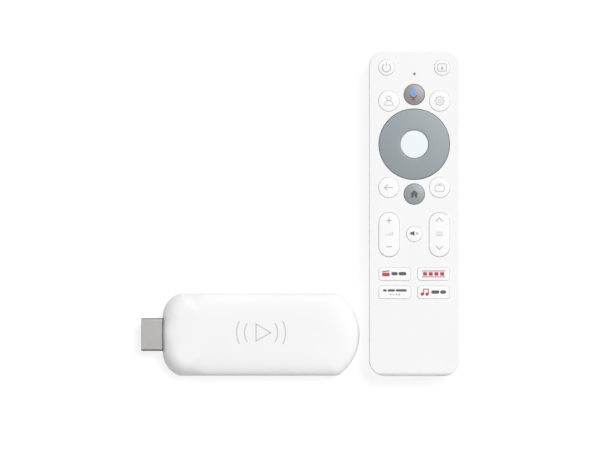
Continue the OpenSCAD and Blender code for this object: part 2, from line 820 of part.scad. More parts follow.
module power_key() { color("white") round_key(-corner_key_x, corner_drop, small_key_r, 90); }
module source_key() { color("white") round_key(corner_key_x, corner_drop, small_key_r, 90); }
module voice_key() { color([0.62, 0.61, 0.61]) round_key(0, voice_drop, middle_key_r, 0); }
module profile_key() { color("white") round_key(-side_key_x, profile_drop, side_key_r, 90); }
module settings_key() { color("white") round_key(side_key_x, profile_drop, side_key_r, 90); }
module back_key() { color("white") round_key(-side_key_x, back_drop, side_key_r, 90); }
module guide_key() { color("white") round_key(side_key_x, back_drop, side_key_r, 90); }
module home_key() { color([0.63, 0.64, 0.65]) round_key(0, home_drop, middle_key_r, 0); }
module mute_key() { color("white") round_key(0, mute_drop, small_key_r, 90); }

module select_key() {
    edge = 0.4;
    color("white") on_remote(0, ring_drop) {
        rotate_extrude($fn = fine) polygon(concat(
            [[0, flange_z], [flange_r, flange_z]],
            [[flange_r, flange_z + ear_t], [select_key_r, flange_z + ear_t]],
            [for (i = [0:4]) let (a = 22.5 * i)
                [select_key_r - edge + edge * cos(a), key_top - edge + edge * sin(a)]],
            [[0, key_top]]));
        translate([0, 0, stem_z]) cylinder(r = stem_r, h = 1, $fn = fine);
    }
}

// The ring is dished between its rims, with four stems and four tabs under the face.
module direction_ring() {
    rim = 0.25;
    color([0.66, 0.69, 0.72]) on_remote(0, ring_drop) {
        rotate_extrude($fn = 2 * fine) polygon(concat(
            [[ring_bore, ring_bottom], [ring_r, ring_bottom]],
            [for (i = [0:8]) let (t = i / 8)
                [ring_r - rim - t * (ring_r - ring_bore - 2 * rim), ring_top - ring_dish * sin(180 * t)]]));
        for (a = [0:90:270]) rotate([0, 0, a]) translate([ring_stem_at, 0, stem_z])
            cylinder(r = stem_r, h = ring_bottom - stem_z + 0.2, $fn = fine);
        for (a = tab_angles) rotate([0, 0, a])
            translate([ring_r - 1.2, -ring_tab_width / 2, ring_tab_z]) {
                cube([1.05, ring_tab_width, ring_bottom - ring_tab_z + 0.3]);
                cube([1.95, ring_tab_width, ring_tab_t]);
            }
    }
}

// A rocking washer under the ring: ridges across it above and below let it tilt both ways.
module ring_washer() {
    ridge_at = (washer_r + washer_bore) / 2;
    ridge_length = 1.6;
    ridge_t = 0.6;
    color([0.85, 0.86, 0.87]) on_remote(0, ring_drop) difference() {
        union() {
            translate([0, 0, washer_z]) cylinder(r = washer_r, h = washer_t, $fn = fine);
            for (s = [-1, 1]) {
                translate([-ridge_t / 2, s * ridge_at - ridge_length / 2, washer_z + 0.4])
                    cube([ridge_t, ridge_length, 0.55]);
                translate([s * ridge_at - ridge_length / 2, -ridge_t / 2, mat_top + 0.05])
                    cube([ridge_length, ridge_t, 1.2]);
            }
        }
        translate([0, 0, washer_z - 1.3]) cylinder(r = washer_bore, h = 4, $fn = fine);
    }
}

// A rocker turns about the round pins at its sides; a stem under each end works a contact.
module rocker(x) {
    pin_length = rocker_width + 2 * ear_reach;
    on_remote(x, rocker_drop) {
        translate([0, 0, ear_z]) linear_extrude(key_top - key_edge - ear_z) rocker_outline(0);
        translate([0, 0, key_top - key_edge - 0.01]) linear_extrude(key_edge + 0.01)
            rocker_outline(-key_edge);
        translate([-pin_length / 2, 0, ear_z + pivot_r]) rotate([0, 90, 0])
            cylinder(r = pivot_r, h = pin_length, $fn = fine);
        for (s = [-1, 1]) translate([0, s * rocker_stem, 0]) stem();
    }
}

module volume_rocker() { color("white") rocker(-rocker_x); }
module channel_rocker() { color("white") rocker(rocker_x); }

module shortcut_key(index) {
    place = shortcut_places()[index];
    on_remote(place[0], place[1]) {
        translate([0, 0, ear_z]) linear_extrude(remote_height + 0.1 - ear_z)
            round_plate(shortcut_width, shortcut_height, 1.25);
        translate([0, 0, remote_height]) linear_extrude(0.3)
            round_plate(shortcut_width - 0.4, shortcut_height - 0.4, 1.05);
        translate([-shortcut_width / 2 - 0.7, -ear_width / 2, ear_z])
            cube([shortcut_width + 1.4, ear_width, ear_t]);
        for (s = [-1, 1]) translate([s * shortcut_stem, 0, 0]) stem();
    }
}

module shortcut_key_1() { color("white") shortcut_key(0); }
module shortcut_key_2() { color("white") shortcut_key(1); }
module shortcut_key_3() { color("white") shortcut_key(2); }
module shortcut_key_4() { color("white") shortcut_key(3); }

// ======== what is drawn ========

stick_top_shell();
stick_bottom_shell();
video_plug_shell();
video_plug_insert();
video_plug_contacts();
stick_circuit_board();
main_processor();
memory_chips();
thermal_pad();
heat_spreader();
radio_shield();
stick_antennas();
power_components();
power_socket_shell();
power_socket_tongue();
reset_switch();
status_light();
status_light_pipe();
stick_board_screws();
reset_button();
remote_front_shell();
remote_rear_shell();
battery_door();
remote_circuit_board();
key_contacts();
key_mat();
remote_board_screws();
infrared_window();
infrared_led();
microphone();
remote_radio_chip();
remote_components();
battery_cells();
battery_springs();
battery_plates();
power_key();
source_key();
voice_key();
profile_key();
settings_key();
direction_ring();
ring_washer();
select_key();
back_key();
guide_key();
home_key();
volume_rocker();
mute_key();
channel_rocker();
shortcut_key_1();
shortcut_key_2();
shortcut_key_3();
shortcut_key_4();
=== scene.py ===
import json
import math

import bmesh
import bpy
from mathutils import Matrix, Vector


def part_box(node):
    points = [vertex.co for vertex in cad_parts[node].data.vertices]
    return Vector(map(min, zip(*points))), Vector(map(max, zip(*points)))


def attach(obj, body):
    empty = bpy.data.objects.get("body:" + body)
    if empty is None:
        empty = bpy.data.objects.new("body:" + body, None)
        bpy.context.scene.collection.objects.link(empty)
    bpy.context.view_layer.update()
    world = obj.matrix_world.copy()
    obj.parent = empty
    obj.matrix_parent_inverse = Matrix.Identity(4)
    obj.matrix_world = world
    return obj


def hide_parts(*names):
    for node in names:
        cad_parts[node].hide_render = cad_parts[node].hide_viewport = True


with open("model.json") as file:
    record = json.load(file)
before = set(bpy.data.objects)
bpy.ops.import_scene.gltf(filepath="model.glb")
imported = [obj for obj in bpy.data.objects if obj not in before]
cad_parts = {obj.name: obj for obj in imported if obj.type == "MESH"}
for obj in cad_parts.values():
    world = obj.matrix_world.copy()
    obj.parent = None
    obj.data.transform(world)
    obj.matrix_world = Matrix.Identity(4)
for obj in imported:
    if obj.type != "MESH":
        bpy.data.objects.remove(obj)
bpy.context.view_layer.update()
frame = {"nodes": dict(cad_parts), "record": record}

# The looks of a streaming media player: the plug-in stick and its remote, around the CAD
# model. Shapes are drawn in millimetres, and turned into metres when a piece is made.

MM = 0.001
TAU = 2 * math.pi

# ---- stick: radii and edges that the boxes of the CAD nodes don't give ----
NOSE_R = 10.6
NOSE_OVERSHOOT = 0.6
TAIL_R = 21.2
NOSE_BLEND = 2.4
TAIL_BLEND = 4.5
STICK_WALL = 1.4
# An edge's profile is (power, root, reach). A high power makes it tight and a high root slack.
# Reach is how much of the way in to the middle line it takes up before the face is level.
SIDE_EDGE = (5.0, 0.2, 1.0)
FRONT_EDGE = (3.6, 0.28, 0.54)
NOSE_EDGE = (3.0, 0.33, 0.56)
CORNER_EDGE = (2.4, 0.7, 0.36)
NOSE_SHARE = 0.35    # how much of the corner's edge there is where the front meets its arc
NOSE_FADE = 8.0      # how far along the side the nose's edge takes to end
FOOT_RISE = 1.02     # the underside's curve would reach this much too far, and is cut off flat
SEAM = 0.16          # the chamfer along both sides of a parting line
PLUG_H = 4.45
PLUG_FOOT = 5.3      # half the width of the plug's narrow side
PLUG_CUT = 0.6
PLUG_CORNER = 0.8
RESET_HOLE_R = 1.65
LIGHT_HOLE_R = 0.86

# ---- remote ----
REMOTE_R = 6.6
REMOTE_WALL = 1.5
FACE_EDGE = 0.55
END_EDGE = 1.7
END_FADE = 0.9       # how far up the remote its rounder bottom edge takes to end
BACK_EDGE = 5.5
DOOR_SKIN = 1.2
DOOR_RISE = 5.0
DOOR_CAP = 4.4
DOOR_GAP = 0.15
DOOR_LENGTH = 62
BAY_HALF = 13
BAY_WALL = 0.9
BAY_TOP = 12.4
KEY_GAP = 0.06
RING_GAP = 0.1
ROCKER_END_GAP = 0.05
ROCKER_W = 8.8
RING_R = 14.95
SELECT_R = 5.85
SHORTCUT_R = 1.25
SHORTCUT_EARS = 1.4  # what a shortcut key's ears add to its width
MICROPHONE_R = 0.6
EAR_BOTTOM = 15.7
EAR_HALF = 1.5
STEM_BOTTOM = 14.66
STEM_R = 1.5
STEM_SINKS = 0.3
PRINT_STANDS = 0.02
PRINT_SINKS = 0.06
# A quarter of a turn in steps, for rounded edges, and the radius of a ring that ends as a point.
QUARTER = [math.radians(15 * i) for i in range(7)]
POINT_R = 1e-6


def box(node):
    """A CAD node's lowest and highest corners, in millimetres."""
    low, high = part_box(node)
    return low / MM, high / MM


def middle(node):
    low, high = box(node)
    return (low + high) / 2


casing_low, casing_high = box("stick_bottom_shell")
NOSE_X, TAIL_X = casing_low.x, casing_high.x
STICK_Y = (casing_low.y + casing_high.y) / 2
HALF_W = (casing_high.y - casing_low.y) / 2
PARTING = casing_high.z
STICK_TOP = box("stick_top_shell")[1].z
front_low, front_high = box("remote_front_shell")
REMOTE_X = (front_low.x + front_high.x) / 2
REMOTE_W = front_high.x - front_low.x
REMOTE_L = front_high.y - front_low.y
REMOTE_PARTING = front_low.z
FACE_Z = front_high.z


# ======== mesh tools ========

def new_object(name, data):
    made = bpy.data.objects.new(name, data)
    bpy.context.scene.collection.objects.link(made)
    return made


def plain_object(bm, name):
    bmesh.ops.recalc_face_normals(bm, faces=bm.faces)
    mesh = bpy.data.meshes.new(name)
    bm.to_mesh(mesh)
    bm.free()
    return new_object(name, mesh)


def object_from(bm, name):
    """A plain object from a mesh in millimetres, once the corners that meet are joined."""
    bmesh.ops.remove_doubles(bm, verts=bm.verts, dist=1e-4)
    bmesh.ops.dissolve_degenerate(bm, edges=bm.edges, dist=1e-5)
    return plain_object(bm, name)


def join_rows(bm, rows):
    """Four-sided faces between rows of corners, all with the same count."""
    count = len(rows[0])
    for low, high in zip(rows, rows[1:]):
        for i in range(count):
            j = (i + 1) % count
            bm.faces.new((low[i], low[j], high[j], high[i]))


def loft(rings, capped=True):
    """A skin over rings of points, with flat ends or open ones."""
    bm = bmesh.new()
    rows = [[bm.verts.new(p) for p in ring] for ring in rings]
    join_rows(bm, rows)
    if capped:
        bm.faces.new(rows[0])
        bm.faces.new(rows[-1])
    return bm


def lathe(profile, at, segments, axis="Z"):
    """A turned solid: profile is (radius, height), from the axis at its foot to the axis again."""
    rings = []
    for r, h in profile:
        r = max(r, POINT_R)
        ring = []
        for i in range(segments):
            a = TAU * i / segments
            x, y = r * math.cos(a), r * math.sin(a)
            ring.append(Vector(at) + Vector((x, h, y) if axis == "Y" else (x, y, h)))
        rings.append(ring)
    return loft(rings, False)


def prism(outline, low, high, axis="Z"):
    """A flat outline carried from low to high along an axis."""
    def place(u, v, w):
        return {"Z": (u, v, w), "X": (w, u, v), "Y": (u, w, v)}[axis]
    return loft([[place(u, v, w) for u, v in outline] for w in (low, high)])


def bar(xs, ys, zs):
    """A plain block between two values on each axis."""
    return prism([(xs[0], ys[0]), (xs[1], ys[0]), (xs[1], ys[1]), (xs[0], ys[1])], *zs)


def boolean(base, tool_bm, operation):
    """base with a closed solid cut from it, or added to it."""
    tool = object_from(tool_bm, "tool")
    modifier = base.modifiers.new("boolean", "BOOLEAN")
    modifier.operation = operation
    modifier.solver = "EXACT"
    modifier.object = tool
    bpy.context.view_layer.update()
    graph = bpy.context.evaluated_depsgraph_get()
    mesh = bpy.data.meshes.new_from_object(base.evaluated_get(graph))
    base.modifiers.clear()
    old = base.data
    base.data = mesh
    mesh.name = old.name
    bpy.data.meshes.remove(old)
    bpy.data.meshes.remove(tool.data)


def cut(base, *tools):
    for tool in tools:
        boolean(base, tool, "DIFFERENCE")


def add(base, *tools):
    for tool in tools:
        boolean(base, tool, "UNION")


def merged(*meshes):
    """Several separate solids as one tool."""
    whole = bmesh.new()
    for bm in meshes:
        mesh = bpy.data.meshes.new("part")
        bm.to_mesh(mesh)
        bm.free()
        whole.from_mesh(mesh)
        bpy.data.meshes.remove(mesh)
    return whole


def soften(piece, width, chosen):
    """Rounds the edges that chosen(edge) picks."""
    bm = bmesh.new()
    bm.from_mesh(piece.data)
    edges = [e for e in bm.edges if len(e.link_faces) == 2 and chosen(e)]
    bmesh.ops.bevel(bm, geom=edges, offset=width, segments=2, profile=0.5,
                    affect="EDGES", clamp_overlap=True)
    bm.to_mesh(piece.data)
    bm.free()


def dress(mesh, look, sharp):
    """Gives a mesh a look, and smooth shading but for edges that turn more than an angle."""
    mesh.materials.clear()
    mesh.materials.append(LOOKS[look])
    mesh.polygons.foreach_set("use_smooth", [True] * len(mesh.polygons))
    mesh.set_sharp_from_angle(angle=math.radians(sharp))


def finish_piece(piece, look, body, replaces=(), slot=None, sharp=35):
    """Scales a piece to metres, dresses it and lets it ride. Most looks are named for a slot."""
    for v in piece.data.vertices:
        v.co = v.co * MM
    dress(piece.data, look, sharp)
    normals = piece.modifiers.new("weighted_normals", "WEIGHTED_NORMAL")
    normals.keep_sharp = True
    normals.weight = 80
    slot = slot or look
    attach(piece, body)
    if replaces:
        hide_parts(*replaces)


# ======== outlines ========

def arc(cx, cy, r, start, end, steps):
    """Points from angle start to angle end, in degrees, both ends included."""
    angles = [math.radians(start + (end - start) * i / steps) for i in range(steps + 1)]
    return [(cx + r * math.cos(a), cy + r * math.sin(a)) for a in angles]


def round_rect(w, l, r, steps=10, cx=0.0, cy=0.0):
    x, y = w / 2 - r, l / 2 - r
    points = []
    for sx, sy, start in ((1, 1, 0), (-1, 1, 90), (-1, -1, 180), (1, -1, 270)):
        points += arc(cx + sx * x, cy + sy * y, r, start, start + 90, steps)
    return points


def circle(r, cx, cy, n):
    return arc(cx, cy, r, 0, 360 - 360 / n, n - 1)


def moved(points, dx, dy):
    return [(x + dx, y + dy) for x, y in points]


# ======== materials ========

def new_node(nodes, kind, inputs):
    """A shader node with some of its inputs set."""
    node = nodes.new("ShaderNode" + kind)
    for name, value in inputs.items():
        node.inputs[name].default_value = value
    return node


def new_ramp(nodes, stops):
    """A colour ramp with these (position, colour) stops, in order."""
    ramp = nodes.new("ShaderNodeValToRGB")
    elements = ramp.color_ramp.elements
    for i, (position, colour) in enumerate(stops):
        if 0 < i < len(stops) - 1:
            stop = elements.new(position)
        else:
            stop = elements[-1 if i else 0]
            stop.position = position
        stop.color = (*colour, 1)
    return ramp


LOOKS = {}


class Surface:
    """A material in the making. Its textures lie in the object's own space."""

    def __init__(self, name, inputs):
        self.material = LOOKS[name] = bpy.data.materials.new(name)
        self.material.use_nodes = True
        self.nodes = self.material.node_tree.nodes
        self.links = self.material.node_tree.links
        self.shader = self.nodes["Principled BSDF"].inputs
        for socket, value in inputs.items():
            self.shader[socket].default_value = value

    def noise(self, scale, detail=2.0, stretch=(1, 1, 1)):
        """Noise with this many cells per metre."""
        place = self.nodes.new("ShaderNodeTexCoord")
        mapping = new_node(self.nodes, "Mapping", {"Scale": stretch})
        texture = new_node(self.nodes, "TexNoise", {"Scale": scale, "Detail": detail})
        self.links.new(place.outputs["Object"], mapping.inputs["Vector"])
        self.links.new(mapping.outputs["Vector"], texture.inputs["Vector"])
        return texture.outputs["Fac"]

    def vary_colour(self, fac, colour, spread):
        darker = [c * (1 - spread) for c in colour]
        lighter = [min(1, c * (1 + spread)) for c in colour]
        ramp = new_ramp(self.nodes, ((0.3, darker), (0.7, lighter)))
        self.links.new(fac, ramp.inputs["Fac"])
        self.links.new(ramp.outputs["Color"], self.shader["Base Color"])

    def vary_roughness(self, fac, low, high):
        spread = new_node(self.nodes, "MapRange", {"To Min": low, "To Max": high})
        self.links.new(fac, spread.inputs["Value"])
        self.links.new(spread.outputs["Result"], self.shader["Roughness"])

    def add_bump(self, fac, strength, distance=0.00001):
        bump = new_node(self.nodes, "Bump", {"Strength": strength, "Distance": distance})
        self.links.new(fac, bump.inputs["Height"])
        self.links.new(bump.outputs["Normal"], self.shader["Normal"])


def moulded(name, colour, low, high, spread=0.012, grain=0.10, shine=0.5):
    """Satin moulded plastic: a fine spark-eroded grain, with faint flow marks in its colour."""
    surface = Surface(name, {"IOR": 1.49, "Specular IOR Level": shine})
    surface.vary_colour(surface.noise(45, 3), colour, spread)
    surface.vary_roughness(surface.noise(900), low, high)
    surface.add_bump(surface.noise(5200, 3), grain, 0.00002)


def pearl(name, colour, low, high):
    """Moulded plastic under a satin coat with metal flakes in it."""
    surface = Surface(name, {"Metallic": 0.15})
    surface.vary_colour(surface.noise(9000), colour, 0.03)
    surface.vary_roughness(surface.noise(900), low, high)
    surface.add_bump(surface.noise(7000), 0.08)


def brushed(name, colour, low=0.24, high=0.40, stretch=(1, 40, 40)):
    """Rolled and plated metal with fine lines along one axis."""
    surface = Surface(name, {"Metallic": 1.0})
    surface.vary_colour(surface.noise(120), colour, 0.03)
    lines = surface.noise(260, 4, stretch)
    surface.vary_roughness(lines, low, high)
    surface.add_bump(lines, 0.12)


def printed(name, colour):
    """Screen-printed ink with a slightly uneven film."""
    surface = Surface(name, {})
    surface.vary_colour(surface.noise(2600, 3), colour, 0.07)
    surface.vary_roughness(surface.noise(1500), 0.45, 0.6)


def board_green(name, colour):
    """Solder mask with the faint raised lines of copper tracks under it."""
    surface = Surface(name, {})
    place = surface.nodes.new("ShaderNodeTexCoord")
    tracks = new_node(surface.nodes, "TexBrick", {
        "Scale": 420, "Mortar Size": 0.03, "Color1": (*colour, 1),
        "Color2": (*[c * 0.8 for c in colour], 1), "Mortar": (*[c * 1.8 for c in colour], 1)})
    surface.links.new(place.outputs["Object"], tracks.inputs["Vector"])
    surface.links.new(tracks.outputs["Color"], surface.shader["Base Color"])
    surface.add_bump(tracks.outputs["Fac"], 0.2, 0.00003)
    surface.vary_roughness(surface.noise(500), 0.25, 0.4)


def clear_plastic(name, colour):
    surface = Surface(name, {"Transmission Weight": 0.7, "Roughness": 0.15, "IOR": 1.5})
    surface.vary_colour(surface.noise(400), colour, 0.02)


def cell_sleeve(name, colour):
    """The printed foil round a cell, in one of its two colours."""
    surface = Surface(name, {"Metallic": 0.6})
    surface.vary_colour(surface.noise(300), colour, 0.08)
    surface.vary_roughness(surface.noise(900, 2, (30, 1, 30)), 0.22, 0.38)
    surface.add_bump(surface.noise(1500), 0.05)


# Every look has its name in LOOKS. Those named like a material slot dress its CAD nodes too.
# Colours are linear.
moulded("white_casing", (0.80, 0.80, 0.80), 0.52, 0.64, shine=0.35)
moulded("white_key", (0.83, 0.83, 0.83), 0.50, 0.62, shine=0.35)
moulded("select_white", (0.755, 0.79, 0.825), 0.50, 0.62, shine=0.35)
pearl("voice_grey", (0.255, 0.243, 0.251), 0.36, 0.44)
pearl("home_grey", (0.258, 0.272, 0.280), 0.36, 0.44)
pearl("grey_ring", (0.250, 0.279, 0.295), 0.44, 0.52)
moulded("black_plastic", (0.012, 0.012, 0.013), 0.4, 0.55)
moulded("chip_black", (0.02, 0.02, 0.022), 0.45, 0.6, grain=0.3)
moulded("silicone", (0.55, 0.57, 0.60), 0.55, 0.7, grain=0.2)
moulded("gap_pad", (0.22, 0.35, 0.48), 0.7, 0.85, grain=0.4)
moulded("carbon_pad", (0.01, 0.01, 0.01), 0.6, 0.8, grain=0.3)
moulded("components", (0.10, 0.07, 0.05), 0.35, 0.55, spread=0.25)
moulded("ir_dark", (0.02, 0.006, 0.01), 0.08, 0.14, grain=0.02)
brushed("plug_metal", (0.31, 0.306, 0.299), 0.40, 0.54)
brushed("shield_metal", (0.62, 0.62, 0.61))
brushed("screw_metal", (0.55, 0.55, 0.56), stretch=(1, 1, 1))
brushed("spring_metal", (0.66, 0.66, 0.64), 0.18, 0.3)
brushed("spreader_metal", (0.70, 0.70, 0.71), 0.35, 0.5)
brushed("gilt_contact", (0.86, 0.62, 0.24), 0.16, 0.28, stretch=(1, 1, 1))
board_green("circuit_board", (0.012, 0.10, 0.045))
clear_plastic("light_clear", (0.9, 0.94, 1.0))
cell_sleeve("cell_jacket", (0.05, 0.09, 0.13))
cell_sleeve("cell_band", (0.52, 0.30, 0.13))
INKS = {"pale": (0.50, 0.50, 0.51), "grey": (0.40, 0.40, 0.41), "dark": (0.07, 0.07, 0.075),
        "home": (0.078, 0.085, 0.092), "blue": (0.14, 0.32, 0.66), "wine": (0.28, 0.025, 0.06),
        "red": (0.42, 0.042, 0.028), "rose": (0.40, 0.03, 0.055)}
for ink, colour in INKS.items():
    printed("print_" + ink, colour)
LOOKS["grey_key"] = LOOKS["voice_grey"]


def dress_cad_nodes():
    """Gives every CAD node the look of its slot."""
    for row in frame["record"]["subparts"]:
        dress(frame["nodes"][row["node"]].data, row["material_slot"], 32)


# ======== the stick's casing ========

def blend_circle(arc_x, arc_y, arc_r, blend, inset, towards):
    """The small circle that joins an end arc to the straight side, both moved in by inset."""
    r = max(blend - inset, 0.3)
    y = HALF_W - inset - r
    reach = arc_r - inset - r
    dx = towards * math.sqrt(max(reach ** 2 - (y - arc_y) ** 2, 0))
    return arc_x + dx, y, r, math.degrees(math.atan2(y - arc_y, dx))


def station(part, t, inset):
    """A point on the half outline on the +Y side, moved in by inset; t runs along each part."""
    nose_y = HALF_W - NOSE_R + NOSE_OVERSHOOT
    nose_x = NOSE_X + NOSE_R
    tail_x = TAIL_X - TAIL_R
    nx, ny, nr, n_turn = blend_circle(nose_x, nose_y, NOSE_R, NOSE_BLEND, inset, -1)
    tx, ty, tr, t_turn = blend_circle(tail_x, 0, TAIL_R, TAIL_BLEND, inset, 1)
    if part == "front":
        return NOSE_X + inset, t * nose_y
    if part == "side":
        return nx + (tx - nx) * t, HALF_W - inset
    cx, cy, r, start, end = {
        "nose_arc": (nose_x, nose_y, NOSE_R - inset, 180, n_turn),
        "nose_blend": (nx, ny, nr, n_turn, 90),
        "tail_blend": (tx, ty, tr, 90, t_turn),
        "tail_arc": (tail_x, 0, TAIL_R - inset, t_turn, 0),
    }[part]
    a = math.radians(start + (end - start) * t)
    return cx + r * math.cos(a), cy + r * math.sin(a)


def smooth(t):
    t = min(max(t, 0), 1)
    return t * t * (3 - 2 * t)


def between(first, second, share):
    return tuple(a + (b - a) * share for a, b in zip(first, second))


def edge_shape(part, t):
    """The casing's edge at this place: tight on the sides, rounder on the nose and its corners."""
    if part == "front":
        edge = between(FRONT_EDGE, NOSE_EDGE, smooth(t))
        return between(edge, CORNER_EDGE, NOSE_SHARE * smooth(t))
    if part == "nose_arc":
        return between(NOSE_EDGE, CORNER_EDGE, NOSE_SHARE + (1 - NOSE_SHARE) * smooth(2.5 * t))
    if part == "nose_blend":
        return CORNER_EDGE
    if part == "side":
        length = (TAIL_X - TAIL_R) - (NOSE_X + NOSE_R)
        return between(CORNER_EDGE, SIDE_EDGE, smooth(t * length / NOSE_FADE))
    return SIDE_EDGE


def stick_stations():
    """(part, t, side) right round the outline, from the middle of the nose."""
    counts = (("front", 8), ("nose_arc", 24), ("nose_blend", 5), ("side", 44),
              ("tail_blend", 6), ("tail_arc", 26))
    half = [(part, i / n) for part, n in counts for i in range(n)] + [("tail_arc", 1.0)]
    return ([(part, t, 1) for part, t in half]
            + [(part, t, -1) for part, t in reversed(half[1:-1])])


STATIONS = stick_stations()
SPINE = (NOSE_X + HALF_W, TAIL_X - TAIL_R)


def rise(part, t, share):
    """How high the skin stands, 0 to 1, at this share of the way in from the outline."""
    power, root, reach = edge_shape(part, t)
    left = 1 - min(share / reach, 1)
    return (1 - left ** power) ** root


def stick_ring(inset, share, height):
    """A ring of the casing, part of the way in to its spine; height(part, t) gives Z."""
    ring = []
    for part, t, side in STATIONS:
        x, y = station(part, t, inset)
        spine_x = min(max(x, SPINE[0]), SPINE[1])
        ring.append((x + (spine_x - x) * share, STICK_Y + side * y * (1 - share), height(part, t)))
    return ring


def stick_shell_rings(up, reach, stretch):
    """Rings of one thin-walled half: its inner skin from the spine down, then its outer skin up."""
    steps, crowding = 30, 2.4

    def skin(wall):
        rings = []
        for i in range(1, steps + 1):
            share = (i / steps) ** crowding

            def height(part, t):
                lift = (reach - wall) * min(rise(part, t, share) * stretch, 1)
                return PARTING + up * max(lift, SEAM)
            rings.append(stick_ring(wall, share, height))
        return rings

    inner = [stick_ring(STICK_WALL, 0, lambda part, t: PARTING)] + skin(STICK_WALL)
    outer = [stick_ring(SEAM, 0, lambda part, t: PARTING),
             stick_ring(0, 0, lambda part, t: PARTING + up * SEAM)] + skin(0)
    return list(reversed(inner)) + outer


def plug_outline(grow, corner):
    """The video plug's section in Y and Z: its lower corners are cut off."""
    low, high = box("video_plug_shell")
    w, h = (high.y - low.y) / 2, PLUG_H / 2
    sharp = [(w, h), (-w, h), (-w, -PLUG_CUT), (-PLUG_FOOT, -h), (PLUG_FOOT, -h), (w, -PLUG_CUT)]
    points = []
    for i, here in enumerate(sharp):
        before, after = Vector(sharp[i - 1]), Vector(sharp[(i + 1) % len(sharp)])
        here = Vector(here)
        into, out = (here - before).normalized(), (after - here).normalized()
        half = into.angle(out) / 2
        back = corner * math.tan(half)
        start = here - into * back
        left = Vector((-into.y, into.x))
        centre = start + left * corner
        first = math.atan2((start - centre).y, (start - centre).x)
        for k in range(7):
            a = first + 2 * half * k / 6
            points.append(centre + Vector((math.cos(a), math.sin(a))) * (corner + grow))
    return [(STICK_Y + p.x, PARTING + p.y) for p in points]


def socket_outline(grow):
    low, high = box("power_socket_shell")
    w, h = high.y - low.y + 2 * grow, high.z - low.z + 2 * grow
    return round_rect(w, h, h / 2 - 1e-3, 10, STICK_Y, PARTING)


def port_cutters():
    """Tools for the plug's and socket's mouths, and for the holes in the stick's side."""
    side_y = STICK_Y + HALF_W

    def hole(node, r):
        return lathe([(0, side_y - 3), (r, side_y - 3), (r, side_y + 2), (0, side_y + 2)],
                     (middle(node).x, 0, PARTING), 40, "Y")
    return [prism(plug_outline(0.2, PLUG_CORNER), NOSE_X - 2, NOSE_X + 3, "X"),
            prism(socket_outline(0.16), TAIL_X - 4, TAIL_X + 2, "X"),
            hole("reset_button", RESET_HOLE_R), hole("status_light_pipe", LIGHT_HOLE_R)]


def build_stick_shells():
    for name, up, reach, stretch in (("stick_top_shell", 1, STICK_TOP - PARTING, 1),
                                     ("stick_bottom_shell", -1, PARTING, FOOT_RISE)):
        shell = object_from(loft(stick_shell_rings(up, reach, stretch), False), name + "_skin")
        cut(shell, *port_cutters())
        finish_piece(shell, "white_casing", "stick", [name])


def plug_tube(name, corner, section):
    """A tube with the plug's outline; section is (x, grow) right round its wall."""
    rings = [[(x, y, z) for y, z in plug_outline(grow, corner)] for x, grow in section]
    return object_from(loft(rings + [rings[0]], False), name)


def build_plug():
    tip, inner = box("video_plug_shell")[0].x, NOSE_X + 7
    lead, wall = 0.25, 0.3
    shell = plug_tube("plug_shell", 0.85, [
        (tip, -lead), (tip + 0.08, -0.08), (tip + lead, 0), (inner, 0),
        (inner, -wall), (tip + lead, -wall), (tip, 0.02 - wall)])
    for side in (-1, 1):
        window = round_rect(2.2, 1.5, 0.25, 4, tip + 4, STICK_Y + side * 3.4)
        cut(shell, prism(window, 3, PARTING - 1.5))
    finish_piece(shell, "plug_metal", "stick", ["video_plug_shell"])


def build_plug_shadow_collar():
    """A thin black collar where the plug leaves the casing: painted shadow, a dark band that stands
    in for the shade of the gap at that junction.
    """
    collar = plug_tube("plug_shadow_collar", PLUG_CORNER, [
        (NOSE_X + 1.6, 0.16), (NOSE_X - 0.04, 0.16), (NOSE_X - 0.1, 0.1),
        (NOSE_X - 0.1, 0.01), (NOSE_X + 1.6, 0.01)])
    finish_piece(collar, "black_plastic", "stick")


def build_reset_button():
    """A cap with a dished face on a flange, and the pin that meets the switch."""
    low, high = box("reset_button")
    x, y = middle("reset_button").x, high.y
    r, edge, flange = 1.5, 0.2, 2.2
    profile = [(0, y - 2), (flange, y - 2), (flange, y - 1.5), (r, y - 1.5), (r, y - edge)]
    profile += [(r - edge + edge * math.cos(a), y - edge + edge * math.sin(a))
                for a in (math.radians(22.5 * i) for i in range(1, 5))]
    profile += [(0.9, y - 0.02), (0.4, y - 0.1), (0, y - 0.12)]
    cap = object_from(lathe(profile, (x, 0, PARTING), 48, "Y"), "reset_cap")
    add(cap, lathe([(0, low.y), (0.6, low.y), (0.6, y - 1.8), (0, y - 1.8)],
                   (x, 0, PARTING + 1.15), 24, "Y"))
    finish_piece(cap, "white_casing", "reset_button", ["reset_button"])


# ======== the remote's casing ========

def remote_ring(inset, z):
    outline = round_rect(REMOTE_W - 2 * inset, REMOTE_L - 2 * inset, max(REMOTE_R - inset, 0.3), 14)
    return [(REMOTE_X + x, y, z) for x, y in outline]


def key_outline(node, grow):
    """A key's own outline seen from above, grown: round, stadium or rounded oblong."""
    at = middle(node)
    low, high = box(node)
    w, l = high.x - low.x, high.y - low.y
    if "rocker" in node:
        w = ROCKER_W + 2 * grow
        return moved(round_rect(w, l + 2 * (grow + ROCKER_END_GAP), w / 2 - 1e-3, 24), at.x, at.y)
    if "shortcut" in node:
        w = w - SHORTCUT_EARS + 2 * grow
        return moved(round_rect(w, l + 2 * grow, SHORTCUT_R + grow, 8), at.x, at.y)
    return circle(min(w, l) / 2 + grow, at.x, at.y, 96)


def face_edge_ring(a):
    """A ring of the face's rounded edge, at an angle up its curve; the bottom end is rounder."""
    ring = []
    for out, within in zip(remote_ring(0, 0), remote_ring(1, 0)):
        end = smooth(1 - (out[1] + REMOTE_L / 2) / END_FADE)
        edge = FACE_EDGE + (END_EDGE - FACE_EDGE) * end
        inset = edge * (1 - math.cos(a))
        x, y = (p + (q - p) * inset for p, q in zip(out[:2], within[:2]))
        ring.append((x, y, FACE_Z - edge * (1 - math.sin(a))))
    return ring


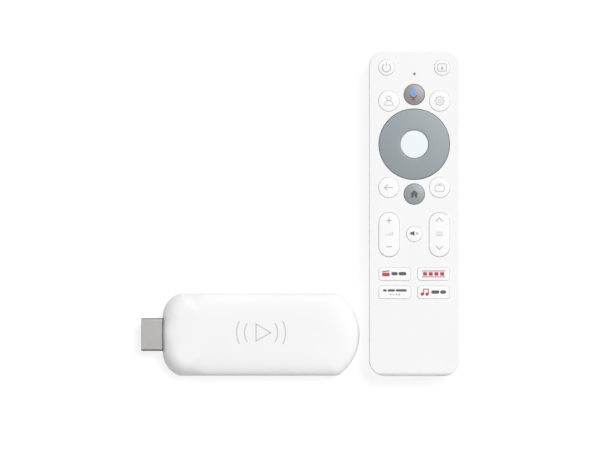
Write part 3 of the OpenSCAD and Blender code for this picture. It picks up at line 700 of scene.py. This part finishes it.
def build_front_shell():
    under = FACE_Z - REMOTE_WALL
    steps = 8
    inner = [remote_ring(REMOTE_WALL + 0.3, under), remote_ring(REMOTE_WALL, under - 0.3),
             remote_ring(REMOTE_WALL, REMOTE_PARTING)]
    outer = [remote_ring(SEAM, REMOTE_PARTING), remote_ring(0, REMOTE_PARTING + SEAM)]
    outer += [face_edge_ring(math.radians(90 * i / steps)) for i in range(steps + 1)]
    shell = object_from(loft(inner + outer), "remote_front_skin")
    ring, mic = middle("select_key"), middle("microphone")
    holes = [key_outline(key, KEY_GAP) for key in [*ROUND_KEYS, *SHORTCUTS, *ROCKERS]]
    holes.append(circle(RING_R + RING_GAP, ring.x, ring.y, 160))
    holes.append(circle(MICROPHONE_R, mic.x, mic.y, 24))
    cut(shell, merged(*[prism(hole, under - 1, FACE_Z + 1) for hole in holes]))
    window_y = box("infrared_window")[1].y
    slot = round_rect(10.9, 2.9, 0.4, 6, REMOTE_X, 14.6)
    cut(shell, prism(slot, window_y - 3, window_y + 2, "Y"))

    def rim(edge):
        if any(abs(v.co.z - FACE_Z) > 1e-3 for v in edge.verts):
            return False
        tilts = sorted(abs(f.normal.z) for f in edge.link_faces)
        return tilts[0] < 0.3 and tilts[1] > 0.95
    soften(shell, 0.06, rim)
    finish_piece(shell, "white_casing", "remote", ["remote_front_shell"])


def back_rings(wall, foot, top):
    """Rings of the remote's back skin, from the middle of the back out and up to top."""
    edge = BACK_EDGE - wall * 0.8
    steps = 12
    rings = []
    for i in range(steps, -1, -1):
        a = math.radians(90 * i / steps)
        rings.append(remote_ring(wall + edge * (1 - math.cos(a)), foot + edge * (1 - math.sin(a))))
    return rings + [remote_ring(wall, top)]


def side_bar(side, near, far, ys, zs):
    """A block on one side of the remote, between two distances from its middle line."""
    return bar(sorted(REMOTE_X + side * reach for reach in (near, far)), ys, zs)


def across(reach, ys, zs):
    """A block across the remote, this far to each side of its middle line."""
    return bar((REMOTE_X - reach, REMOTE_X + reach), ys, zs)


def build_rear_shell():
    """The back with the battery bay; its bottom end and its sides' lower part are the door's."""
    door_y = box("battery_door")[0].y
    split = door_y + DOOR_LENGTH
    outer = back_rings(0, 0, REMOTE_PARTING - SEAM) + [remote_ring(SEAM, REMOTE_PARTING)]
    inner = back_rings(REMOTE_WALL, REMOTE_WALL, REMOTE_PARTING)
    shell = object_from(loft(outer + list(reversed(inner))), "remote_rear_skin")
    beyond = REMOTE_W / 2 + 2
    cut(shell, across(beyond, (door_y - 2, split + DOOR_GAP), (-2, DOOR_RISE + DOOR_GAP)),
        across(beyond, (door_y - 2, door_y + DOOR_CAP + DOOR_GAP), (-2, 14)))
    bay_low, bay_high = box("battery_plates")
    first, last = bay_low.y - 0.1, bay_high.y + 0.1
    along = (first - BAY_WALL, last + BAY_WALL)
    # The bay's roof, its side walls with ledges out to the casing, and its two ends.
    walls = [across(BAY_HALF, along, (12, 12.7))]
    for side in (-1, 1):
        walls.append(side_bar(side, 11.8, BAY_HALF, along, (5.6, BAY_TOP)))
        walls.append(side_bar(side, 12.6, 17.9, (first, last + BAY_WALL), (8.6, 9.6)))
    for y in (first - BAY_WALL, last):
        walls.append(across(BAY_HALF, (y, y + BAY_WALL), (2.7, BAY_TOP)))
    add(shell, *walls)
    # The grooves that the door's rails run in.
    for side in (-1, 1):
        cut(shell, side_bar(side, 17.0, 18.2, (door_y - 1, split + 0.4), (6.2, 7.4)))
    finish_piece(shell, "white_casing", "remote", ["remote_rear_shell"], sharp=30)


def build_door():
    """The sliding door: a tray with finger ribs, rails along its sides and a latch at its end."""
    low = box("battery_door")[0].y
    split = low + DOOR_LENGTH
    half = REMOTE_W / 2
    outer = back_rings(0, 0, REMOTE_PARTING - 0.1)
    inner = back_rings(DOOR_SKIN, DOOR_SKIN, REMOTE_PARTING - 0.1)
    door = object_from(loft(outer + list(reversed(inner))), "battery_door_skin")
    cut(door, across(half + 2, (split, 90), (-2, 20)),
        across(half + 2, (low + DOOR_CAP, 90), (DOOR_RISE, 20)))
    grips = [round_rect(14 - 1.2 * abs(i - 2), 0.8, 0.38, 6, REMOTE_X, split - 10 - 1.8 * i + 0.4)
             for i in range(5)]
    cut(door, merged(*[prism(grip, -1, 0.4) for grip in grips]))
    for side in (-1, 1):
        add(door, side_bar(side, half - 3.0, half - 2.2, (low + 8, split - 4), (1.6, 7.2)),
            side_bar(side, half - 2.4, half - 1.25, (low + 8, split - 4), (6.5, 7.1)))
    add(door, across(2.2, (split - 2, split), (DOOR_SKIN - 0.2, 2.3)),
        across(2.2, (split - 0.2, split + 2), (1.65, 2.3)))
    finish_piece(door, "white_casing", "battery_door", ["battery_door"], sharp=30)


# ======== keys ========

def cap_profile(r, foot, top, edge, crown):
    """A turned key cap: straight skirt, rounded rim and a gently crowned top."""
    rim = top - crown
    profile = [(0, foot), (r, foot)]
    for a in QUARTER:
        profile.append((r - edge + edge * math.cos(a), rim - edge + edge * math.sin(a)))
    for i in range(1, 9):
        share = 1 - i / 8
        profile.append(((r - edge) * share, top - crown * share ** 2))
    return profile


def stem(x, y, top=EAR_BOTTOM + STEM_SINKS):
    return lathe([(0, STEM_BOTTOM), (STEM_R, STEM_BOTTOM), (STEM_R, top), (0, top)], (x, y, 0), 32)


def ear_bar(node, tall=0.7):
    """The strip whose ends stand out under the face and hold the key in."""
    low, high = box(node)
    at = middle(node)
    zs = (EAR_BOTTOM, EAR_BOTTOM + tall)
    if high.x - low.x > high.y - low.y or "rocker" in node:
        return bar((low.x, high.x), (at.y - EAR_HALF, at.y + EAR_HALF), zs)
    return bar((at.x - EAR_HALF, at.x + EAR_HALF), (low.y, high.y), zs)


# A round key's look, its slot, and how far its middle stands over its rim.
KEY_LOOKS = {"voice_key": ("voice_grey", "grey_key", 0.32),
             "home_key": ("home_grey", "grey_key", 0.26)}
PLAIN_LOOK = ("white_key", "white_key", 0.14)


def build_round_key(node):
    low, high = box(node)
    at = middle(node)
    r, edge = min(high.x - low.x, high.y - low.y) / 2, 0.40
    look, slot, crown = KEY_LOOKS.get(node, PLAIN_LOOK)
    cap = object_from(lathe(cap_profile(r, EAR_BOTTOM, high.z, edge, crown), (at.x, at.y, 0), 96),
                      node + "_cap")
    add(cap, ear_bar(node), stem(at.x, at.y))
    finish_piece(cap, look, node, [node], slot)
    return lambda x, y: high.z - crown * min(1, (x * x + y * y) / (r - edge) ** 2)


def build_rocker(node):
    low, high = box(node)
    at = middle(node)
    l = high.y - low.y
    top, edge, crown = high.z, 0.45, 0.14

    def ring(inset, z):
        w = ROCKER_W - 2 * inset
        return [(x, y, z) for x, y in
                moved(round_rect(w, l - 2 * inset, w / 2 - 1e-3, 20), at.x, at.y)]
    rings = [ring(0, EAR_BOTTOM)]
    for a in QUARTER:
        rings.append(ring(edge - edge * math.cos(a), top - crown - edge + edge * math.sin(a)))
    half = ROCKER_W / 2 - edge
    for i in range(1, 8):
        share = i / 8
        rings.append(ring(edge + half * share * 0.98, top - crown * (1 - share) ** 2))
    cap = object_from(loft(rings), node + "_cap")
    add(cap, ear_bar(node, 0.6), stem(at.x, at.y - 6), stem(at.x, at.y + 6))
    finish_piece(cap, "white_key", node, [node])
    return lambda x, y: top - crown * (min(abs(x), half) / half) ** 2


def build_shortcut(node):
    low, high = box(node)
    at = middle(node)
    w, l, top, edge = high.x - low.x - SHORTCUT_EARS, high.y - low.y, high.z, 0.28

    def ring(inset, z):
        r = max(SHORTCUT_R - inset, 0.3)
        return [(x, y, z) for x, y in
                moved(round_rect(w - 2 * inset, l - 2 * inset, r, 8), at.x, at.y)]
    rings = [ring(0, EAR_BOTTOM)]
    for i in range(6):
        a = math.radians(18 * i)
        rings.append(ring(edge - edge * math.cos(a), top - edge + edge * math.sin(a)))
    cap = object_from(loft(rings), node + "_cap")
    add(cap, ear_bar(node), stem(at.x - 4, at.y), stem(at.x + 4, at.y))
    finish_piece(cap, "white_key", node, [node])
    return lambda x, y: top


def build_select_key():
    """A cap on a flange that the ring holds down."""
    low, high = box("select_key")
    at = middle("select_key")
    flange, under, over = (high.x - low.x) / 2, 15.2, 15.9
    profile = [(0, STEM_BOTTOM), (STEM_R, STEM_BOTTOM), (STEM_R, under), (flange, under),
               (flange, over)] + cap_profile(SELECT_R, over, high.z, 0.2, 0.10)[1:]
    cap = object_from(lathe(profile, (at.x, at.y, 0), 112), "select_key_cap")
    finish_piece(cap, "select_white", "select_key", ["select_key"], "white_key")


def build_direction_ring():
    """The ring falls gently outwards, with a soft rim outside and in; tabs and stems under it."""
    high = box("direction_ring")[1].z
    x, y = middle("select_key").xy
    bore, rim, foot = SELECT_R + RING_GAP, RING_R, 16.3
    fall, edge, bore_edge = 0.45, 0.45, 0.2
    profile = [(bore, foot), (rim, foot)]
    for a in QUARTER:
        profile.append((rim - edge + edge * math.cos(a), high - fall - edge + edge * math.sin(a)))
    run = rim - edge - bore - bore_edge
    for i in range(1, 11):
        share = i / 10
        profile.append((rim - edge - run * share, high - fall * (1 - share) ** 1.6))
    for a in reversed(QUARTER[:-1]):
        profile.append((bore + bore_edge * (1 - math.cos(a)), high - bore_edge * (1 - math.sin(a))))
    segments = 160
    rings = [[(x + r * math.cos(TAU * i / segments), y + r * math.sin(TAU * i / segments), h)
              for i in range(segments)] for r, h in profile]
    ring = object_from(loft(rings + [rings[0]], False), "direction_ring_cap")
    top, stem_circle, tab_foot, tab_top = foot + STEM_SINKS, 11, 15.08, 15.68
    for a in range(0, 360, 90):
        c, s = math.cos(math.radians(a)), math.sin(math.radians(a))
        add(ring, stem(x + stem_circle * c, y + stem_circle * s, top))
    for a in (25, 155, 205, 335):
        c, s = math.cos(math.radians(a)), math.sin(math.radians(a))

        def turned(u0, u1, z0, z1):
            corners = [(u0, -2), (u1, -2), (u1, 2), (u0, 2)]
            return prism([(x + u * c - v * s, y + u * s + v * c) for u, v in corners], z0, z1)
        add(ring, turned(rim - 1.2, rim - 0.15, tab_foot, top),
            turned(rim - 1.2, rim + 0.75, tab_foot, tab_top))
    finish_piece(ring, "grey_ring", "direction_ring", ["direction_ring"])


# ======== printed marks ========

def ribbon(points, width, closed=False):
    """The left and right sides of a line of even width."""
    count = len(points)
    left, right = [], []
    for i, point in enumerate(points):
        here = Vector(point)
        before = Vector(points[i - 1]) if closed or i else here
        after = Vector(points[(i + 1) % count]) if closed or i < count - 1 else here
        into, out = (here - before).normalized(), (after - here).normalized()
        into, out = into if into.length else out, out if out.length else into
        leftward = Vector((-out.y, out.x))
        middle_way = (Vector((-into.y, into.x)) + leftward).normalized()
        reach = width / 2 / max(middle_way.dot(leftward), 0.35)
        left.append(here + middle_way * reach)
        right.append(here - middle_way * reach)
    return left, right


def stepped(points, step, closed):
    """The same line with a point at least every step."""
    whole = points + points[:1] if closed else points
    made = []
    for a, b in zip(whole, whole[1:]):
        a, b = Vector(a), Vector(b)
        parts = max(1, math.ceil((b - a).length / step))
        made += [tuple(a + (b - a) * i / parts) for i in range(parts)]
    return made if closed else made + [tuple(points[-1])]


def add_line(bm, at, height, points, width, closed=False):
    """A printed line that lies on a surface; height(x, y) is that surface."""
    left, right = ribbon(stepped(points, 0.3, closed), width, closed)

    def corner(p, lift):
        return bm.verts.new((at[0] + p.x, at[1] + p.y, height(p.x, p.y) + lift))
    rows = [(corner(l, PRINT_STANDS), corner(r, PRINT_STANDS),
             corner(r, -PRINT_SINKS), corner(l, -PRINT_SINKS)) for l, r in zip(left, right)]
    join_rows(bm, rows + rows[:1] if closed else rows)
    if not closed:
        bm.faces.new(rows[0])
        bm.faces.new(tuple(reversed(rows[-1])))


def add_fill(bm, at, height, outline):
    """A printed filled shape that lies on a surface."""
    outline = stepped([tuple(p) for p in outline], 0.4, True)
    cx = sum(p[0] for p in outline) / len(outline)
    cy = sum(p[1] for p in outline) / len(outline)

    def ring(share, lift):
        made = []
        for px, py in outline:
            x, y = cx + (px - cx) * share, cy + (py - cy) * share
            made.append(bm.verts.new((at[0] + x, at[1] + y, height(x, y) + lift)))
        return made
    rings = [ring(share, PRINT_STANDS) for share in (0.35, 0.7, 1.0)] + [ring(1.0, -PRINT_SINKS)]
    join_rows(bm, rings)
    bm.faces.new(rings[0])
    bm.faces.new(rings[-1])


def mark(name, at, height, body, slot, ink, lines=(), loops=(), fills=()):
    """One printed mark: open lines and closed loops as (points, width), and filled outlines."""
    bm = bmesh.new()
    for points, width in lines:
        add_line(bm, at, height, points, width)
    for points, width in loops:
        add_line(bm, at, height, points, width, True)
    for outline in fills:
        add_fill(bm, at, height, outline)
    finish_piece(plain_object(bm, name), "print_" + ink, body, (), slot, 50)


def marker(node, height):
    """A draw(name, ink, shapes) that prints on one key, whose top is height(x, y)."""
    at = middle(node)
    slot = "grey_key" if node in KEY_LOOKS else "white_key"

    def draw(name, ink, **shapes):
        mark(name, (at.x, at.y), height, node, slot, ink, **shapes)
    return draw


def draw_power(draw):
    ring = arc(0, -0.1, 1.75, 125, 415, 40)
    draw("power_mark", "grey", lines=[(ring, 0.42), ([(0, 2.1), (0, 0.5)], 0.42)])


def draw_source(draw):
    draw("source_mark", "grey",
         loops=[(round_rect(3.6, 3.1, 0.5, 4), 0.36)],
         fills=[[(-0.65, -0.75), (0.65, -0.75), (0, 0.7)]])


def draw_profile(draw):
    foot, shoulder = -1.75, -1.2
    bust = arc(0, -1.1, 1.45, 160, 20, 10)
    shoulders = [(-1.75, foot), (-1.75, shoulder)] + bust + [(1.75, shoulder), (1.75, foot)]
    draw("profile_mark", "pale", loops=[(circle(0.95, 0, 1.15, 24), 0.34), (shoulders, 0.34)])


def draw_settings(draw):
    teeth = 8
    outline = []
    for i in range(96):
        a = TAU * i / 96
        r = 1.72 + 0.26 * max(-1, min(1, 2.2 * math.cos(teeth * a)))
        outline.append((r * math.cos(a), r * math.sin(a)))
    draw("settings_mark", "pale", loops=[(outline, 0.34), (circle(0.72, 0, 0, 24), 0.32)])


def draw_voice(draw):
    capsule = round_rect(2.2, 3.3, 1.09, 10, -0.3, 0.95)
    draw("voice_capsule_mark", "blue", fills=[capsule])
    cradle = arc(-0.3, 0.35, 1.65, 205, 335, 24)
    post, foot = [(-0.3, -1.4), (-0.3, -2.2)], [(-1.0, -2.2), (0.4, -2.2)]
    draw("voice_cradle_mark", "wine", lines=[(line, 0.42) for line in (cradle, post, foot)])


def draw_home(draw):
    roof = [(-1.75, 0.1), (0, 1.75), (1.75, 0.1), (1.3, 0.1)]
    doorway = [(0.45, -1.5), (0.45, -0.5), (-0.45, -0.5), (-0.45, -1.5)]
    house = roof + [(1.3, -1.5)] + doorway + [(-1.3, -1.5), (-1.3, 0.1)]
    draw("home_mark", "home", fills=[house])


def draw_back(draw):
    shaft, head = [(1.75, 0), (-1.6, 0)], [(-0.5, 1.2), (-1.75, 0), (-0.5, -1.2)]
    draw("back_mark", "grey", lines=[(shaft, 0.36), (head, 0.36)])


def draw_guide(draw):
    draw("guide_mark", "pale",
         loops=[(round_rect(3.9, 2.6, 0.6, 5, 0, -0.35), 0.36)],
         lines=[([(-0.95, 1.95), (0, 1.1), (0.95, 1.95)], 0.34)])


def draw_mute(draw):
    horn = [(-1.7, 0.75), (-0.9, 0.75), (0.1, 1.35), (0.1, -0.85), (-0.9, -0.25), (-1.7, -0.25)]
    draw("mute_mark", "dark", fills=[horn])
    draw("mute_cross_mark", "grey",
         lines=[([(0.6, 0.8), (1.7, -0.3)], 0.34), ([(0.6, -0.3), (1.7, 0.8)], 0.34)])


def draw_volume(draw):
    plus_and_minus = ([(-1.2, 6.0), (1.2, 6.0)], [(0, 7.2), (0, 4.8)],
                      [(-1.25, -5.1), (1.25, -5.1)])
    draw("volume_marks", "grey", lines=[(line, 0.40) for line in plus_and_minus])
    places = [(-1.5 + 0.75 * i, 0.05 + 0.3 * i) for i in range(5)]
    steps = [([(x, -0.35), (x, top)], 0.34) for x, top in places]
    draw("volume_level_mark", "pale", lines=steps)


def draw_channel(draw):
    draw("channel_marks", "grey",
         lines=[([(-1.45, 5.6), (0, 7.1), (1.45, 5.6)], 0.42),
                ([(-1.45, -4.7), (0, -6.2), (1.45, -4.7)], 0.42)])
    rows = [([(-1.4, 0.3 + 0.75 * i), (1.4, 0.3 + 0.75 * i)], 0.3) for i in (-1, 0, 1)]
    draw("channel_list_mark", "pale", lines=rows)


def word_bars(widths, x, y, tall):
    """Plain round-ended bars where a caption would be."""
    bars = []
    for w in widths:
        bars.append(round_rect(w, tall, tall / 2 - 0.02, 5, x + w / 2, y))
        x += w + 0.35
    return bars


def draw_clapper(draw):
    board = round_rect(3.1, 1.6, 0.25, 4, -3.8, -0.25)
    arm = [(-5.35, 0.72), (-2.25, 1.0), (-2.3, 1.5), (-5.4, 1.2)]
    draw("clapper_mark", "red", fills=[board, arm])
    draw("clapper_bars", "dark", fills=word_bars((2.7, 3.3), -1.5, 0.1, 1.4))


def draw_film(draw):
    frames = [round_rect(1.7, 1.5, 0.2, 4, x, 0) for x in (-3.6, -1.2, 1.2, 3.6)]
    rails = [([(-4.9, y), (4.9, y)], 0.34) for y in (-1.25, 1.25)]
    draw("film_mark", "rose", fills=frames, lines=rails)


def draw_ticket(draw):
    draw("ticket_bars", "dark", fills=word_bars((1.6, 3.1, 4.6), -5.0, 0.8, 0.95))
    dots = [circle(0.26, x, -0.95, 12) for x in (-1.8, -0.6, 0.6, 1.8)]
    draw("ticket_mark", "dark", fills=dots)


def draw_note(draw):
    heads = [circle(0.72, x, -0.75, 20) for x in (-4.8, -2.8)]
    stems = [([(-4.2, -0.7), (-4.2, 1.35), (-2.2, 1.35), (-2.2, -0.7)], 0.40)]
    draw("note_mark", "red", fills=heads, lines=stems)
    draw("note_bars", "dark", fills=word_bars((3.4, 2.5), -1.0, 0.1, 1.4))


def draw_player_mark():
    """A plain play triangle between two pairs of wireless arcs, on the stick's top."""
    middle_x = (NOSE_X + TAIL_X) / 2
    centre_y = STICK_Y + 0.9

    def height(x, y):
        share = 1 - abs(centre_y + y - STICK_Y) / HALF_W
        return PARTING + (STICK_TOP - PARTING) * rise("side", 0.5, share)
    triangle = [(-2.1, -3.6), (4.0, 0), (-2.1, 3.6)]
    rings = []
    for side in (0, 180):
        for r, spread in ((7.0, 34), (10.3, 28)):
            rings.append((arc(0.0, 0, r, side - spread, side + spread, 24), 0.5))
    mark("player_mark", (middle_x, centre_y), height, "stick", "white_casing", "pale",
         lines=rings, loops=[(triangle, 0.5)])


# ======== inside the battery bay ========

def build_cells():
    """Each cell has a printed sleeve with a band at its positive end, and bare metal ends."""
    low, high = box("battery_cells")
    r = (high.z - low.z) / 2
    z = (high.z + low.z) / 2
    sleeve = [(0, 1.3), (2.6, 1.3), (2.75, 1.02), (r - 0.9, 1.0), (r - 0.35, 1.1), (r, 1.45),
              (r, 43.6), (r - 0.3, 44.1), (r - 0.9, 44.3), (3.1, 44.2), (3.0, 44.0), (0, 44.0)]
    band = [(0, 2.4), (r + 0.015, 2.4), (r + 0.015, 9.6), (0, 9.6)]
    positive = [(0, 0.0), (1.7, 0.0), (1.9, 0.2), (1.9, 0.95), (2.5, 1.1), (2.5, 1.6), (0, 1.6)]
    negative = [(0, 43.8), (2.9, 43.8), (2.9, 44.15), (2.6, 44.4), (0, 44.5)]
    for side, name in ((1, "right"), (-1, "left")):
        x = REMOTE_X + side * ((high.x - low.x) / 2 - r)
        tip = low.y if side > 0 else high.y
        for profile, part, look, replaced, slot in (
                (sleeve, "battery_cell_", "cell_jacket", ["battery_cells"], None),
                (band, "cell_band_", "cell_band", (), "cell_jacket"),
                (positive, "cell_positive_", "spring_metal", (), None),
                (negative, "cell_negative_", "spring_metal", (), None)):
            turned = lathe([(p, tip + side * h) for p, h in profile], (x, 0, z), 64, "Y")
            finish_piece(object_from(turned, part + name), look, "remote", replaced, slot)


def build_springs():
    """Smooth tapering coils of wire, on the plates that the CAD coils stand on."""
    low, high = box("battery_springs")
    z = middle("battery_cells").z
    wire, turns, per_turn, sides = 0.25, 4, 28, 8
    for side, name in ((1, "battery_spring_right"), (-1, "battery_spring_left")):
        x = REMOTE_X + side * 5.9
        base = (high.y if side > 0 else low.y) - side * 0.3
        count = turns * per_turn
        rings = []
        for i in range(count + 1):
            t = i / count
            a = TAU * turns * t
            r = 3 - t
            along = base - side * (0.1 + 3.9 * t)
            rings.append([(x + (r + wire * math.cos(b)) * math.cos(a),
                           along + wire * math.sin(b),
                           z + (r + wire * math.cos(b)) * math.sin(a))
                          for b in (TAU * j / sides for j in range(sides))])
        coil = object_from(loft(rings), name)
        plate = [(0, base - side * 0.1), (3.3, base - side * 0.1), (3.6, base + side * 0.05),
                 (3.6, base + side * 0.2), (0, base + side * 0.2)]
        add(coil, lathe(plate, (x, 0, z), 48, "Y"))
        finish_piece(coil, "spring_metal", "remote", ["battery_springs"])


# ======== stage, light and camera ========

def build_stage():
    """A wide matt floor, almost as bright as the white ground of a product picture."""
    bm = bmesh.new()
    bmesh.ops.create_grid(bm, x_segments=4, y_segments=4, size=8)
    floor = plain_object(bm, "floor")
    floor.location.z = -0.00005
    surface = Surface("pale_floor", {
        "Roughness": 0.9, "Specular IOR Level": 0.0,
        "Emission Color": (1, 1, 1, 1), "Emission Strength": 0.76})
    surface.vary_colour(surface.noise(3, 1), (0.30, 0.30, 0.30), 0.005)
    floor.data.materials.append(surface.material)


def build_world():
    """A soft room: bright overhead, dim lower down, white at the horizon, brighter at the back."""
    world = bpy.data.worlds.new("studio")
    world.use_nodes = True
    bpy.context.scene.world = world
    nodes, links = world.node_tree.nodes, world.node_tree.links
    place = nodes.new("ShaderNodeTexCoord")
    parts = nodes.new("ShaderNodeSeparateXYZ")
    levels = ((0.0, 1.0), (0.05, 1.0), (0.11, 0.10), (0.5, 0.24), (1.0, 0.98))
    ramp = new_ramp(nodes, [(position, [level] * 3) for position, level in levels])
    side = nodes.new("ShaderNodeVectorMath")
    side.operation = "DOT_PRODUCT"
    side.inputs[1].default_value = (0.55, 0.83, 0.0)
    spread = new_node(nodes, "MapRange", {"From Min": -0.8, "From Max": 0.8,
                                          "To Min": 0.5, "To Max": 1.15})
    background = nodes["Background"].inputs
    links.new(place.outputs["Generated"], parts.inputs["Vector"])
    links.new(parts.outputs["Z"], ramp.inputs["Fac"])
    links.new(place.outputs["Generated"], side.inputs[0])
    links.new(side.outputs["Value"], spread.inputs["Value"])
    links.new(ramp.outputs["Color"], background["Color"])
    links.new(spread.outputs["Result"], background["Strength"])


def build_light():
    """One large soft light above the set, aimed at its middle."""
    data = bpy.data.lights.new("key_light", "AREA")
    data.size = 3.3
    data.energy = 332
    lamp = new_object("key_light", data)
    lamp.location = (2.0, 1.98, 5.7)
    lamp.rotation_mode = "QUATERNION"
    lamp.rotation_quaternion = (-lamp.location).to_track_quat("-Z", "Y")


def build_camera():
    """A long lens straight above the set; the view is wider than the set by the same margins."""
    view_width = 0.2527
    view_centre = (-0.0001, -0.0047)
    face_height = 0.016
    data = bpy.data.cameras.new("camera")
    data.lens = 1000
    data.sensor_width = 36
    data.clip_start, data.clip_end = 0.05, 50
    camera = new_object("camera", data)
    camera.location = (*view_centre, face_height + view_width * data.lens / data.sensor_width)
    scene = bpy.context.scene
    scene.camera = camera
    scene.view_settings.view_transform = "Standard"
    scene.view_settings.look = "None"


ROUND_KEYS = {"power_key": draw_power, "source_key": draw_source, "voice_key": draw_voice,
              "profile_key": draw_profile, "settings_key": draw_settings, "back_key": draw_back,
              "guide_key": draw_guide, "home_key": draw_home, "mute_key": draw_mute}
ROCKERS = {"volume_rocker": draw_volume, "channel_rocker": draw_channel}
SHORTCUTS = {"shortcut_key_1": draw_clapper, "shortcut_key_2": draw_film,
             "shortcut_key_3": draw_ticket, "shortcut_key_4": draw_note}

dress_cad_nodes()
build_camera()
build_stage()
build_world()
build_light()
build_stick_shells()
build_plug()
build_plug_shadow_collar()
build_reset_button()
draw_player_mark()
build_front_shell()
build_rear_shell()
build_door()
for build, keys in ((build_round_key, ROUND_KEYS), (build_rocker, ROCKERS),
                    (build_shortcut, SHORTCUTS)):
    for key, draw_marks in keys.items():
        draw_marks(marker(key, build(key)))
build_select_key()
build_direction_ring()
build_cells()
build_springs()
